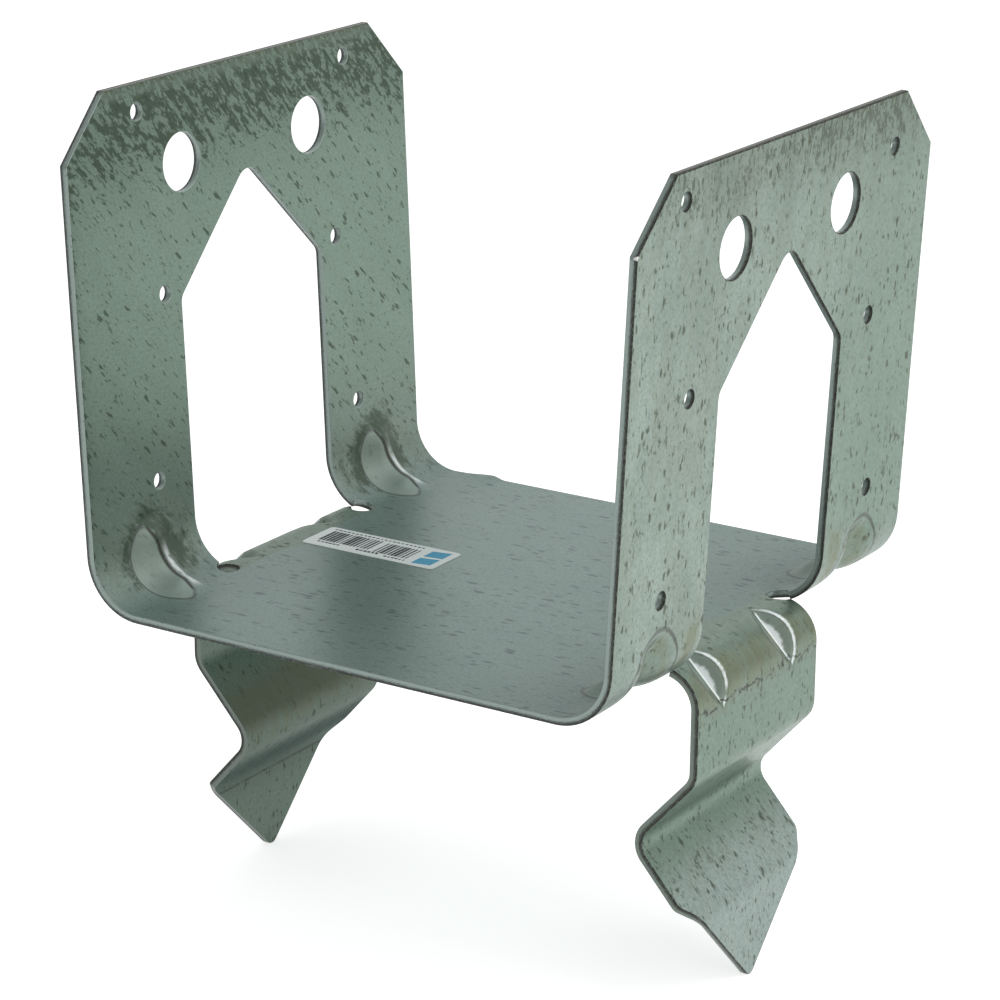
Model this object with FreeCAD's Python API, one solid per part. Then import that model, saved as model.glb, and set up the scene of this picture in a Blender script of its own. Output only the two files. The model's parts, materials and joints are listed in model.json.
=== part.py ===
import FreeCAD, Part
import math
import os

from FreeCAD import Vector

# Post base folded from one sheet, in millimetres.
# The post stands on the plate's upper face. The centre of that face is the origin, +Z is up,
# X runs from the left upright to the right one and Y runs along the folds, away from the front.

# Sheet
sheet = 2.0
shear_gap = 0.3

# Seat plate and uprights
post_width = 139.7
base_depth = 137.4
upright_height = 121.0
upright_lean_deg = 2.75
fold_radius = 12.5
top_corner_cut = 15.0

# Pointed window in each upright, out of which the leg is lanced
window_width = 58.0
window_shoulder = 66.7
window_tip_radius = 5.0
window_shoulder_radius = 3.0
point_angle_deg = 91.5
relief_hole_d = 6.0

# Bolt and nail holes, with the nails staggered from one upright to the other
bolt_hole_d = 14.3
bolt_spacing = 51.8
bolt_top_inset = 21.6
nail_hole_d = 4.2
nail_top_inset = 6.8
nail_above_shoulder = 2.3
nail_low_height = 24.2
left_nail_inset = 13.0
left_nail_inset_mid = 6.3
right_nail_inset = 20.3
right_nail_inset_mid = 13.5
right_back_nail_drop = 5.8

# Anchor legs: a straight run, a zigzag kink and a pointed foot
leg_root_radius = 7.5
leg_bend_radius = 5.0
leg_straight = 27.1
kink_depth = 15.7
kink_height = 35.6
foot_shoulder_rise = 3.9
foot_tip_radius = 2.5

# Round gussets pressed across the upright folds
gusset_spacing = 96.6
gusset_reach = 14.6
gusset_radius = 9.0
gusset_wall = 1.7

# Darts pressed across the root bends of the legs, shallow in front of the valley and steep behind it
dart_spacing = 33.0
dart_reach = 11.0
dart_front_angle_deg = 57.0
dart_back_angle_deg = 30.0
dart_wall = 1.7

# Sizes that follow from these
half_post = post_width / 2
half_depth = base_depth / 2
half_window = window_width / 2
half_leg = half_window - shear_gap
lean = math.radians(upright_lean_deg)
point_slope = 1 / math.tan(math.radians(point_angle_deg / 2))
fold_line_x = half_post - fold_radius * math.tan(math.pi / 4 - lean / 2)
leg_face_x = half_post + sheet
kink_floor_z = -leg_straight - kink_height
foot_shoulder_z = kink_floor_z + foot_shoulder_rise
foot_tip_z = foot_shoulder_z - half_leg * point_slope
window_apex = window_shoulder + half_window * point_slope
bolt_height = upright_height - bolt_top_inset
nail_top_height = upright_height - nail_top_inset
nail_mid_height = window_shoulder + nail_above_shoulder
up_the_upright = Vector(math.sin(lean), 0, math.cos(lean))
upright_top = Vector(half_post, 0, 0) + up_the_upright * upright_height
clear = 4 * sheet
reach_x = upright_top.x + clear


def unit(vector):
    return vector * (1 / vector.Length)


def right_of(direction):
    """Right-hand direction of a walk in the XZ plane, seen from the front."""
    return Vector(direction.z, 0, -direction.x)


def mirror_x(shape):
    return shape.mirror(Vector(0, 0, 0), Vector(1, 0, 0))


def mirror_y(shape):
    return shape.mirror(Vector(0, 0, 0), Vector(0, 1, 0))


def four_times(shape):
    """A front right feature with its copies at the back and on the left."""
    right = [shape, mirror_y(shape)]
    return right + [mirror_x(copy) for copy in right]


def face_of(edges):
    return Part.Face(Part.Wire(Part.__sortEdges__(edges)))


def straight(start, end):
    return Part.LineSegment(start, end).toShape()


def rounded_path(points, radii):
    """Edges along the points, with an arc of its own radius at each inner point."""
    edges = []
    last = points[0]
    for before, corner, after, radius in zip(points, points[1:], points[2:], radii):
        incoming = unit(corner - before)
        outgoing = unit(after - corner)
        half_turn = incoming.getAngle(outgoing) / 2
        run = radius * math.tan(half_turn)
        to_centre = unit(outgoing - incoming)
        arc_middle = corner + to_centre * (radius / math.cos(half_turn) - radius)
        arc_start = corner - incoming * run
        arc_end = corner + outgoing * run
        edges.append(straight(last, arc_start))
        edges.append(Part.Arc(arc_start, arc_middle, arc_end).toShape())
        last = arc_end
    edges.append(straight(last, points[-1]))
    return edges


def other_face(points):
    """Points of the sheet's other face, one thickness to the right of the given face."""
    result = [points[0] + right_of(unit(points[1] - points[0])) * sheet]
    for before, corner, after in zip(points, points[1:], points[2:]):
        first = right_of(unit(corner - before))
        second = right_of(unit(after - corner))
        middle = unit(first + second)
        result.append(corner + middle * (sheet / middle.dot(first)))
    result.append(points[-1] + right_of(unit(points[-1] - points[-2])) * sheet)
    return result


def face_radii(points, bend_radii):
    """Radii of the given face and of the other face at each bend."""
    near = []
    far = []
    for before, corner, after, bend_radius in zip(points, points[1:], points[2:], bend_radii):
        turns_right = (after - corner).dot(right_of(corner - before)) > 0
        near.append(bend_radius + sheet if turns_right else bend_radius)
        far.append(bend_radius if turns_right else bend_radius + sheet)
    return near, far


def sheet_section(points, bend_radii):
    """Section of a bent sheet that lies to the right of a walk along the points."""
    near, far = face_radii(points, bend_radii)
    back = other_face(points)
    edges = rounded_path(points, near) + rounded_path(back, far)
    edges.append(straight(points[0], back[0]))
    edges.append(straight(points[-1], back[-1]))
    return face_of(edges)


def filled_section(points, radii):
    """Area between a rounded path and the straight line that closes it."""
    return face_of(rounded_path(points, radii) + [straight(points[-1], points[0])])


def along_y(section, length):
    section.translate(Vector(0, -length / 2, 0))
    return section.extrude(Vector(0, length, 0))


def along_x(outline, radii, start):
    """Prism over an outline of (y, z) points, from the start out past the right upright."""
    points = [Vector(start, y, z) for y, z in outline]
    return filled_section(points, radii).extrude(Vector(reach_x - start, 0, 0))


def channel_path():
    """Inner faces of the left upright, the plate and the right upright."""
    left_top = Vector(-upright_top.x, 0, upright_top.z)
    return [left_top, Vector(-half_post, 0, 0), Vector(half_post, 0, 0), upright_top]


def channel():
    """Seat plate with both uprights, before anything is cut out of it."""
    return along_y(sheet_section(channel_path(), [fold_radius] * 2), base_depth)


def channel_envelope():
    """All that lies within the outer faces of the channel."""
    path = channel_path()
    far_radii = face_radii(path, [fold_radius] * 2)[1]
    return along_y(filled_section(other_face(path), far_radii), base_depth)


def top_corner():
    """Wedge over the cut front corner of the right upright."""
    cut_y = half_depth - top_corner_cut
    cut_z = upright_top.z - top_corner_cut
    over = top_corner_cut + clear
    points = [
        Vector(half_post, -cut_y + clear, upright_top.z + clear),
        Vector(half_post, -half_depth - over, upright_top.z + clear),
        Vector(half_post, -half_depth - over, cut_z - over),
        Vector(half_post, -half_depth - clear, cut_z - clear),
    ]
    wedge = Part.Face(Part.makePolygon(points + points[:1]))
    return wedge.extrude(Vector(reach_x - half_post, 0, 0))


def window():
    """House-shaped cut through the right upright and its fold, out from the fold line."""
    outline = [
        (-half_window, -clear),
        (-half_window, window_shoulder),
        (0, window_apex),
        (half_window, window_shoulder),
        (half_window, -clear),
    ]
    radii = [window_shoulder_radius, window_tip_radius, window_shoulder_radius]
    return along_x(outline, radii, fold_line_x)


def relief_hole():
    """Round end of the cut between the leg and the fold, with its rim on the fold line."""
    radius = relief_hole_d / 2
    foot = Vector(fold_line_x + radius, -half_window, -clear)
    return Part.makeCylinder(radius, clear + sheet, foot)


def upright_hole(diameter, y, height, side):
    """Hole along X through the right upright (side 1) or the left one (side -1)."""
    start = Vector(0, y, height * math.cos(lean))
    return Part.makeCylinder(diameter / 2, reach_x, start, Vector(side, 0, 0))


def bolt_holes():
    half = bolt_spacing / 2
    return [upright_hole(bolt_hole_d, y, bolt_height, side) for y in (-half, half) for side in (-1, 1)]


def nail_holes():
    """Three pairs beside each window. The right upright's top hole at the back sits lower."""
    rows = [
        (-1, left_nail_inset, nail_top_height, nail_top_height),
        (-1, left_nail_inset_mid, nail_mid_height, nail_mid_height),
        (-1, left_nail_inset, nail_low_height, nail_low_height),
        (1, right_nail_inset, nail_top_height, nail_top_height - right_back_nail_drop),
        (1, right_nail_inset_mid, nail_mid_height, nail_mid_height),
        (1, right_nail_inset, nail_low_height, nail_low_height),
    ]
    holes = []
    for side, inset, front_height, back_height in rows:
        y = half_window + inset
        holes.append(upright_hole(nail_hole_d, -y, front_height, side))
        holes.append(upright_hole(nail_hole_d, y, back_height, side))
    return holes


def leg():
    """Right leg: a zigzag strip trimmed to the pointed blank that the window leaves."""
    path = [
        Vector(fold_line_x, 0, 0),
        Vector(leg_face_x, 0, 0),
        Vector(leg_face_x, 0, -leg_straight),
        Vector(leg_face_x - kink_depth, 0, -leg_straight - kink_height / 2),
        Vector(leg_face_x, 0, kink_floor_z),
        Vector(leg_face_x, 0, foot_tip_z),
    ]
    outline = [
        (-half_leg, clear),
        (-half_leg, foot_shoulder_z),
        (0, foot_tip_z),
        (half_leg, foot_shoulder_z),
        (half_leg, clear),
    ]
    bend_radii = [leg_root_radius] + [leg_bend_radius] * 3
    strip = along_y(sheet_section(path, bend_radii), window_width)
    return strip.common(along_x(outline, [foot_tip_radius] * 3, 0))


def gusset_rod(radius):
    """Slanting rod whose crest crosses the front right fold from upright to plate."""
    corner = Vector(half_post, -gusset_spacing / 2, 0)
    inward = Vector(-1, 0, 0)
    crest_middle = (up_the_upright + inward) * (gusset_reach / 2)
    axis_middle = corner + crest_middle - unit(crest_middle) * gusset_radius
    direction = unit(inward - up_the_upright)
    length = 2 * (gusset_reach + gusset_radius + clear)
    return Part.makeCylinder(radius, length, axis_middle - direction * (length / 2), direction)


def gusset_rib():
    return gusset_rod(gusset_radius).common(channel_envelope())


def gusset_recess():
    return gusset_rod(gusset_radius - gusset_wall)


def dart_wedge(y, depth):
    """Wedge across a dart of the right leg, its edge this far inside the bend's corner."""
    corner = Vector(leg_face_x, y, 0)
    outward = unit(Vector(1, 0, 1))
    along = unit(Vector(1, 0, -1))
    front_width = depth * math.tan(math.radians(dart_front_angle_deg))
    back_width = depth * math.tan(math.radians(dart_back_angle_deg))
    length = 4 * dart_reach
    start = along * (length / 2)
    edge = corner - outward * depth - start
    front = corner - Vector(0, front_width, 0) - start
    back = corner + Vector(0, back_width, 0) - start
    triangle = Part.makePolygon([edge, back, front, edge])
    return Part.Face(triangle).extrude(along * length)


def dart_envelope():
    """Space behind the outer face of the leg's root bend."""
    side = 2 * dart_reach
    corner = Vector(leg_face_x, 0, 0)
    points = [corner - Vector(side, 0, 0), corner, corner - Vector(0, 0, side)]
    return along_y(filled_section(points, [leg_root_radius + sheet]), window_width)


def dart_rib(y):
    """Dart from behind: both walls lie one wall thickness outside the recess."""
    front = math.radians(dart_front_angle_deg)
    back = math.radians(dart_back_angle_deg)
    deeper = dart_wall * (math.cos(front) + math.cos(back)) / math.sin(front + back)
    sideways = (dart_wall - deeper * math.sin(back)) / math.cos(back)
    ridge = dart_wedge(y + sideways, dart_reach / math.sqrt(2) + deeper)
    return ridge.common(dart_envelope())


def dart_recess(y):
    return dart_wedge(y, dart_reach / math.sqrt(2))


def four_darts(shape_at):
    """The front and the back dart of the right leg, with their copies on the left."""
    right = [shape_at(-dart_spacing / 2), shape_at(dart_spacing / 2)]
    return right + [mirror_x(dart) for dart in right]


def folded_body():
    """The whole sheet: cut out, with its legs, ribs and the recesses behind the ribs."""
    windows = [window(), mirror_x(window())]
    body = channel().cut(windows + four_times(top_corner()) + bolt_holes() + nail_holes())
    legs = [leg(), mirror_x(leg())]
    body = body.fuse(legs + four_times(gusset_rib()) + four_darts(dart_rib))
    recesses = four_times(gusset_recess()) + four_darts(dart_recess)
    return body.cut(recesses + four_times(relief_hole())).removeSplitter()


os.makedirs("parts", exist_ok=True)
folded_body().exportStep("parts/folded_body.step")
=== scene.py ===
import json
import math

import bpy
import numpy as np
from mathutils import Matrix, Vector, kdtree
from mathutils.geometry import delaunay_2d_cdt


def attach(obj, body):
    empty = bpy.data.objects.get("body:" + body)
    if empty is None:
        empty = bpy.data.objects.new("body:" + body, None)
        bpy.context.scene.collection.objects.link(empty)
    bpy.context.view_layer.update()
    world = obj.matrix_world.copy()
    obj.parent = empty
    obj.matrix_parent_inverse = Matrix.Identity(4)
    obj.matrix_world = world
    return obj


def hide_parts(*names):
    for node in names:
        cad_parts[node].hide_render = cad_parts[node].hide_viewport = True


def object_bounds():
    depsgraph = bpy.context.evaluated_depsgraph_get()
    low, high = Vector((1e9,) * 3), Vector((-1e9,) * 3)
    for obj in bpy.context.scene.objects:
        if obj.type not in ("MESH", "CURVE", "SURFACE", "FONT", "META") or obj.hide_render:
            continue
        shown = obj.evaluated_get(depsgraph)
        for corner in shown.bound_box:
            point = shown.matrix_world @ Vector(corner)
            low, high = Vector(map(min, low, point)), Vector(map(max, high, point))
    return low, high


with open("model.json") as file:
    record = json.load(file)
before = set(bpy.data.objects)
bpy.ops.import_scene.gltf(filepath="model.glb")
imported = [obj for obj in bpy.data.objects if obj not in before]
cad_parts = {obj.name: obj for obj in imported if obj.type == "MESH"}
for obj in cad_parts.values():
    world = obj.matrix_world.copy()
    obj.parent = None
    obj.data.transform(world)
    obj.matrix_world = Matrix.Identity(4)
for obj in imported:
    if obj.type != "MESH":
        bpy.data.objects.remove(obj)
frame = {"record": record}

bl_info = {
    "name": "Folded Post Base",
    "version": (1, 0, 0),
    "blender": (4, 5, 0),
    "location": "3D View > Sidebar > Post Base",
    "description": "A post base pressed and folded from one galvanised sheet, with its paper label",
    "category": "Object",
}

MM = 0.001
BODY = "root"
SHEET_NODE = "folded_body"
CAD_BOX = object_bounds()
HOLE_ROWS = [row for row in frame["record"]["mounts"] if row["kind"] == "bolt_pattern"]
LEAN_DEG = 2.75
# Parts of a gusset, counted in its half length and half width: where its ends begin to fall, how wide
# its ridge is, and the half sizes of its flat face, whose middle lies below the gusset's and before it
GUSSET_FLAT = 0.55
GUSSET_RIDGE = 0.46
GUSSET_FACE = (0.92, 0.54)
GUSSET_DROP = 0.07
GUSSET_AHEAD = 0.27
# Lengths along a leg from its fold line, where its zinc is cracked, wrinkled and creased
ROOT_CRACK = 18.5 * MM
KINK_WRINKLES = 69.5 * MM
FOOT_CREASE = 82 * MM
CRACK_WANDER = 4.5 * MM
# Sideways slant of the flecks inside the left upright
FLECK_SKEW = 0.8
# Contrast of the mottle about its middle level
MOTTLE_CONTRAST = 0.92
# Lamps: name, place and size in metres, power in watts
LAMPS = [
    ("key_lamp", (0.75, 0.25, 0.95), 1.0, 6.0),
    ("side_lamp", (1.1, -0.45, 0.35), 0.9, 2.5),
]
LAMP_AIM = Vector((0.0, 0.0, 0.02))
FLOOR_HALF = 3.0
FLOAT, VECTOR = "NodeSocketFloat", "NodeSocketVector"
# Rows of marks on the label, in millimetres: count, start, pitch, narrowest, widest, place across, height;
# and a seed
PRINT_ROWS = [
    (15, -16.6, 1.02, 0.30, 0.92, 0.6, 7.4, 3),
    (10, 0.0, 1.06, 0.30, 0.92, 0.0, 7.4, 8),
    (22, -17.2, 1.25, 0.5, 1.1, 5.5, 0.6, 5),
    (6, -16.0, 1.15, 0.5, 1.0, -4.2, 0.7, 11),
    (6, -4.2, 1.15, 0.6, 1.05, -4.4, 1.0, 12),
    (6, 4.4, 1.1, 0.5, 0.95, -4.9, 0.7, 13),
]
# Blocks of the label's colour field, in millimetres: their two ends along the label, and the sides of each
FIELD_ENDS = (12.4, 17.6)
FIELD_SIDES = [(-5.4, -0.5), (0.2, 5.2)]


# Properties

def length(name, description, millimetres):
    return bpy.props.FloatProperty(
        name=name, description=description, default=millimetres * MM, unit="LENGTH", precision=5)


def angle(name, description, degrees):
    return bpy.props.FloatProperty(
        name=name, description=description, default=math.radians(degrees), subtype="ANGLE")


def place(name, description, millimetres):
    return bpy.props.FloatVectorProperty(
        name=name, description=description, default=[value * MM for value in millimetres],
        subtype="TRANSLATION", unit="LENGTH")


def colour(name, description, rgb):
    return bpy.props.FloatVectorProperty(
        name=name, description=description, default=rgb, subtype="COLOR", min=0, max=1)


def share(name, description, value):
    return bpy.props.FloatProperty(
        name=name, description=description, default=value, subtype="FACTOR", min=0, max=1)


def amount(name, description, value):
    return bpy.props.FloatProperty(name=name, description=description, default=value, min=0)


class PostBaseSheet(bpy.types.PropertyGroup):
    """Sizes of the blank, its folds and its pressings."""
    sheet: length("Sheet", "Thickness of the sheet", 2.0)
    edge_round: length("Edge round", "Radius that shearing leaves on the edges", 0.22)
    post_width: length("Post width", "Clear width between the uprights at the plate", 139.7)
    base_depth: length("Base depth", "Depth along the folds", (CAD_BOX[1].y - CAD_BOX[0].y) / MM)
    upright_height: length("Upright height", "Height of an upright along its face",
                           CAD_BOX[1].z / math.cos(math.radians(LEAN_DEG)) / MM)
    lean: angle("Lean", "Outward lean of the uprights", LEAN_DEG)
    fold_radius: length("Fold radius", "Inner radius of the upright folds", 12.5)
    corner_cut: length("Corner cut", "Cut across the top corners", 15.0)
    window_width: length("Window width", "Width of the window in each upright", 58.0)
    window_shoulder: length("Window shoulder", "Height at which a window narrows", 66.7)
    window_shoulder_radius: length("Shoulder radius", "Radius of the window's shoulders", 3.0)
    window_tip_radius: length("Window tip radius", "Radius of the window's point", 5.0)
    point_angle: angle("Point angle", "Angle of the pointed windows and feet", 91.5)
    shear_gap: length("Shear gap", "Cut between leg and window in the blank", 0.3)
    relief_hole: length("Relief hole", "Diameter of the holes that end the cuts", 6.0)
    right_top_nails: length("Right top nails", "Spacing of the right upright's top nails", 98.6)
    right_top_nail_height: length("Right top nail height", "Height of the front one", 114.2)
    right_back_nail_drop: length("Right back nail drop", "How much lower the back one sits", 5.8)
    nail_hole: length("Nail hole", "Diameter of the nail holes", 4.2)
    leg_root_radius: length("Leg root radius", "Inner radius of the bend from the plate to a leg", 7.5)
    leg_bend_radius: length("Leg bend radius", "Inner radius of the other leg bends", 5.0)
    leg_straight: length("Leg straight", "Depth of the leg above its kink", 27.1)
    kink_depth: length("Kink depth", "Depth of the kink", 15.7)
    kink_height: length("Kink height", "Height of the kink", 35.6)
    foot_shoulder_rise: length("Foot shoulder rise", "Foot shoulder above the last bend", 3.9)
    foot_tip_radius: length("Foot tip radius", "Radius of the foot's corners", 2.5)
    tip_gap: length("Tip gap", "Blank between the foot's point and the window's", 1.5)
    gusset_spacing: length("Gusset spacing", "Distance between the gussets of a fold", 96.6)
    gusset_rise: length("Gusset rise", "How far a gusset is pressed out of the fold", 3.4)
    gusset_half_length: length("Gusset half length", "Half length across the fold", 14.8)
    gusset_half_width: length("Gusset half width", "Half width along the fold", 10.4)
    gusset_offset: length("Gusset offset", "Middle of a gusset above the middle of the fold", 1.0)
    dart_spacing: length("Dart spacing", "Distance between the darts of a leg", 33.0)
    dart_reach: length("Dart reach", "Reach of a dart's valley from the corner", 11.0)
    dart_front: angle("Dart front", "Slant of a dart's front wall from the pressing direction", 57.0)
    dart_back: angle("Dart back", "Slant of a dart's back wall from the pressing direction", 30.0)
    dart_root: length("Dart root", "Rounding of a dart's valley", 1.35)
    dart_shoulder: length("Dart shoulder", "Softness of a dart's border", 0.8)
    nick_x: length("Nick", "Place of the nick in the plate's back edge", -46.0)
    nick_rise: length("Nick rise", "Height of the nick", 0.8)
    ripple: length("Ripple", "Unevenness of the rolled sheet", 0.10)


class PostBaseFinish(bpy.types.PropertyGroup):
    """Colours of the zinc, its flecks and its stains."""
    zinc_light: colour("Light zinc", "Bright patches of the zinc", (0.29, 0.362, 0.322))
    zinc_dark: colour("Dark zinc", "Dull patches of the zinc", (0.208, 0.272, 0.236))
    zinc_olive: colour("Olive zinc", "Faint olive streaks of the zinc", (0.225, 0.262, 0.205))
    zinc_plate: colour("Plate zinc", "Bluish zinc of the plate", (0.192, 0.282, 0.270))
    # Painted shade inside the left upright, at the back of the right one and on the legs
    zinc_painted_shade: colour("Shaded zinc", "Dull zinc of the left upright and the legs", (0.165, 0.245, 0.19))
    # Painted shade inside the legs, below the kink
    kink_painted_shade: colour("Kink zinc", "Dark zinc inside the legs, below the kink", (0.055, 0.094, 0.086))
    # Painted light outside on the feet
    foot_painted_light: colour("Pale zinc", "Pale zinc outside on the feet", (0.36, 0.44, 0.425))
    fleck: colour("Fleck", "Dark flecks in the zinc", (0.058, 0.082, 0.056))
    stroke: colour("Stroke", "Short strokes in the zinc of the plate", (0.066, 0.102, 0.104))
    brown_fleck: colour("Brown fleck", "Flecks of the right upright", (0.074, 0.088, 0.054))
    band: colour("Band", "Mottled band at the top of the uprights", (0.044, 0.068, 0.042))
    stain: colour("Stain", "Dark stain round the gussets", (0.044, 0.072, 0.040))
    olive: colour("Olive", "Olive cast of the legs", (0.165, 0.187, 0.115))
    # Painted highlights beyond the gussets' crests and on the darts' walls and rims
    bright: colour("Bright", "Rubbed zinc on crests and rims", (0.86, 0.92, 0.92))
    raw_dark: colour("Raw edge", "Torn steel of the cut edges", (0.022, 0.02, 0.015))
    raw_brown: colour("Brown edge", "Dull edges of the legs and along the top", (0.060, 0.064, 0.038))
    raw_light: colour("Smeared edge", "Zinc smeared over the cut edges", (0.31, 0.38, 0.365))
    # Painted highlight at a corner of the right upright
    painted_glint: colour("Glint", "Bare spot at a corner of the right upright", (0.95, 0.95, 0.95))
    zinc_roughness: share("Zinc roughness", "Roughness of clean zinc", 0.37)
    zinc_metallic: share("Zinc metallic", "How metallic clean zinc is", 0.85)
    edge_roughness: share("Edge roughness", "Roughness of the smeared edges", 0.38)
    edge_metallic: share("Edge metallic", "How metallic the cut edges are", 0.45)


class PostBaseLabel(bpy.types.PropertyGroup):
    """Place, sizes and colours of the paper label."""
    centre: place("Centre", "Middle of the label on the plate", (-38.2, 4.5, 0.0))
    turn: angle("Turn", "Turn of the label on the plate", 0.4)
    length: length("Length", "Length of the label", 39.2)
    width: length("Width", "Width of the label", 14.0)
    thickness: length("Thickness", "Thickness of the paper", 0.12)
    corner: length("Corner", "Radius of the label's corners", 1.2)
    ink_height: length("Ink height", "Height of the print above the paper", 0.012)
    paper: colour("Paper", "Colour of the paper", (0.70, 0.77, 0.755))
    ink: colour("Ink", "Colour of the bars", (0.03, 0.04, 0.045))
    field: colour("Field", "Colour field at the end of the label", (0.06, 0.32, 0.50))


class PostBaseStudio(bpy.types.PropertyGroup):
    """Camera, lamps and floor."""
    eye: place("Eye", "Place of the camera", (435.55, -683.43, 284.34))
    aim: place("Aim", "Point that the camera looks at", (-2.95, 5.33, 18.79))
    roll: angle("Roll", "Turn of the camera about its view", 0.43)
    field_of_view: angle("Field of view", "Angle across the square picture", 16.10)
    shift_x: bpy.props.FloatProperty(
        name="Shift", description="Sideways shift of the picture, as a share of it", default=-0.0026)
    floor_colour: colour("Floor", "Colour of the floor", (0.86, 0.87, 0.87))
    backdrop: amount("Backdrop", "Level of the background that is seen and mirrored", 1.0)
    room: amount("Room", "Level of the room that is mirrored from the camera's side", 0.28)
    ambient: amount("Ambient", "Level of the light from all round", 0.5)
    floor_glow: amount("Floor glow", "Level added to the floor where it is seen", 0.66)


# Blank and folds

def middle_line(corners, half):
    """Corners of the sheet's middle, half a sheet to the right of a walk along one face."""
    corners = np.array(corners, float)
    steps = np.diff(corners, axis=0)
    steps /= np.linalg.norm(steps, axis=1)[:, None]
    right = np.stack([steps[:, 1], -steps[:, 0]], axis=1)
    overlap = np.sum(right[:-1] * right[1:], axis=1)
    mitre = (right[:-1] + right[1:]) / (1 + overlap)[:, None]
    return corners + half * np.concatenate([right[:1], mitre, right[-1:]])


class Walk:
    """A line of straight runs and round bends in the XZ plane, followed by the length walked."""

    def __init__(self, corners, radii):
        steps = np.diff(corners, axis=0)
        headings = np.unwrap(np.arctan2(steps[:, 1], steps[:, 0]))
        turns = np.diff(headings)
        cut = radii * np.tan(np.abs(turns) / 2)
        runs = np.linalg.norm(steps, axis=1)
        runs[1:] -= cut
        runs[:-1] -= cut
        self.lengths = np.zeros(2 * len(runs) - 1)
        self.lengths[0::2] = runs
        self.lengths[1::2] = radii * np.abs(turns)
        self.headings = np.repeat(headings, 2)[:-1]
        self.bends = np.zeros(len(self.lengths))
        self.bends[1::2] = np.sign(turns) / radii
        self.starts = np.concatenate([[0.0], np.cumsum(self.lengths)])
        self.points = np.array([corners[0]] * len(self.lengths), float)
        for row in range(1, len(self.lengths)):
            self.points[row] = np.stack(self.follow(row - 1, self.lengths[row - 1])[:2])

    def follow(self, row, walked):
        """x, z and heading a given length into a row of the walk."""
        turned = self.bends[row] * walked
        chord = walked * np.sinc(turned / (2 * np.pi))
        middle = self.headings[row] + turned / 2
        x = self.points[row, 0] + chord * np.cos(middle)
        z = self.points[row, 1] + chord * np.sin(middle)
        return x, z, self.headings[row] + turned

    def at(self, distance):
        """x, z and heading at distances from the start."""
        row = np.searchsorted(self.starts, distance, side="right") - 1
        row = np.clip(row, 0, len(self.lengths) - 1)
        return self.follow(row, distance - self.starts[row])

    def stations(self, run_step, bend_step):
        """Distances that divide the runs and the bends into steps of their own."""
        marks = [0.0]
        for start, span, bend in zip(self.starts, self.lengths, self.bends):
            step = bend_step if bend else run_step
            count = max(1, math.ceil(span / step))
            marks.extend(start + span * (index + 1) / count for index in range(count))
        return np.array(marks)


def soft_rise(gap, softness):
    """The positive part of a gap, with a round shoulder where it starts."""
    near = np.maximum(softness - np.abs(gap), 0) / softness
    return np.maximum(gap, 0) + near * near * softness / 4


def fade(value, start, end):
    """Smooth fall from 1 at the start to 0 at the end."""
    part = np.clip((value - start) / (end - start), 0, 1)
    return 1 - part * part * (3 - 2 * part)


def arc(centre, radius, start, end, step):
    """Points along a round arc between two angles in degrees."""
    count = max(4, math.ceil(radius * abs(math.radians(end - start)) / step))
    turns = np.radians(np.linspace(start, end, count + 1))
    return np.array(centre) + radius * np.stack([np.cos(turns), np.sin(turns)], axis=1)


def rounded_path(corners, radii, step):
    """Points along an open line whose inner corners are rounded."""
    corners = np.array(corners, float)
    path = [corners[:1]]
    for before, corner, after, radius in zip(corners, corners[1:], corners[2:], radii):
        incoming = (corner - before) / np.linalg.norm(corner - before)
        outgoing = (after - corner) / np.linalg.norm(after - corner)
        turn = math.atan2(incoming[0] * outgoing[1] - incoming[1] * outgoing[0], incoming @ outgoing)
        run = radius * math.tan(abs(turn) / 2)
        side = math.copysign(1, turn)
        centre = corner - incoming * run + side * radius * np.array([-incoming[1], incoming[0]])
        start = math.degrees(math.atan2(*(corner - incoming * run - centre)[::-1]))
        path.append(arc(centre, radius, start, start + math.degrees(turn), step))
    path.append(corners[-1:])
    return divided(np.concatenate(path), step)


def divided(points, step):
    """The same line with long runs cut into steps."""
    parts = []
    for start, end in zip(points, points[1:]):
        count = max(1, math.ceil(np.linalg.norm(end - start) / step))
        parts.append(start + (end - start) * np.arange(count)[:, None] / count)
    return np.concatenate(parts + [points[-1:]])


def wound(loop, clockwise):
    """A closed loop with its doubled points dropped and its turning sense set."""
    apart = np.linalg.norm(loop - np.roll(loop, 1, axis=0), axis=1) > 1e-7
    loop = loop[apart]
    x, y = loop.T
    area = np.sum(x * np.roll(y, -1) - np.roll(x, -1) * y)
    return loop[::-1] if (area < 0) != clockwise else loop


def within(points, loop):
    """True for the points that a closed loop surrounds."""
    low, high = loop.min(axis=0), loop.max(axis=0)
    near = np.flatnonzero(np.all((points > low) & (points < high), axis=1))
    x, y = points[near].T
    odd = np.zeros(len(near), bool)
    for (x0, y0), (x1, y1) in zip(loop, np.roll(loop, -1, axis=0)):
        if y0 != y1:
            odd ^= ((y0 > y) != (y1 > y)) & (x < x0 + (y - y0) * (x1 - x0) / (y1 - y0))
    inside = np.zeros(len(points), bool)
    inside[near] = odd
    return inside


def outward(loop):
    """Mitred directions to the right of each point of a closed loop."""
    step = np.roll(loop, -1, axis=0) - loop
    step /= np.linalg.norm(step, axis=1)[:, None]
    right = np.stack([step[:, 1], -step[:, 0]], axis=1)
    before = np.roll(right, 1, axis=0)
    return (right + before) / (1 + np.sum(right * before, axis=1))[:, None]


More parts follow.
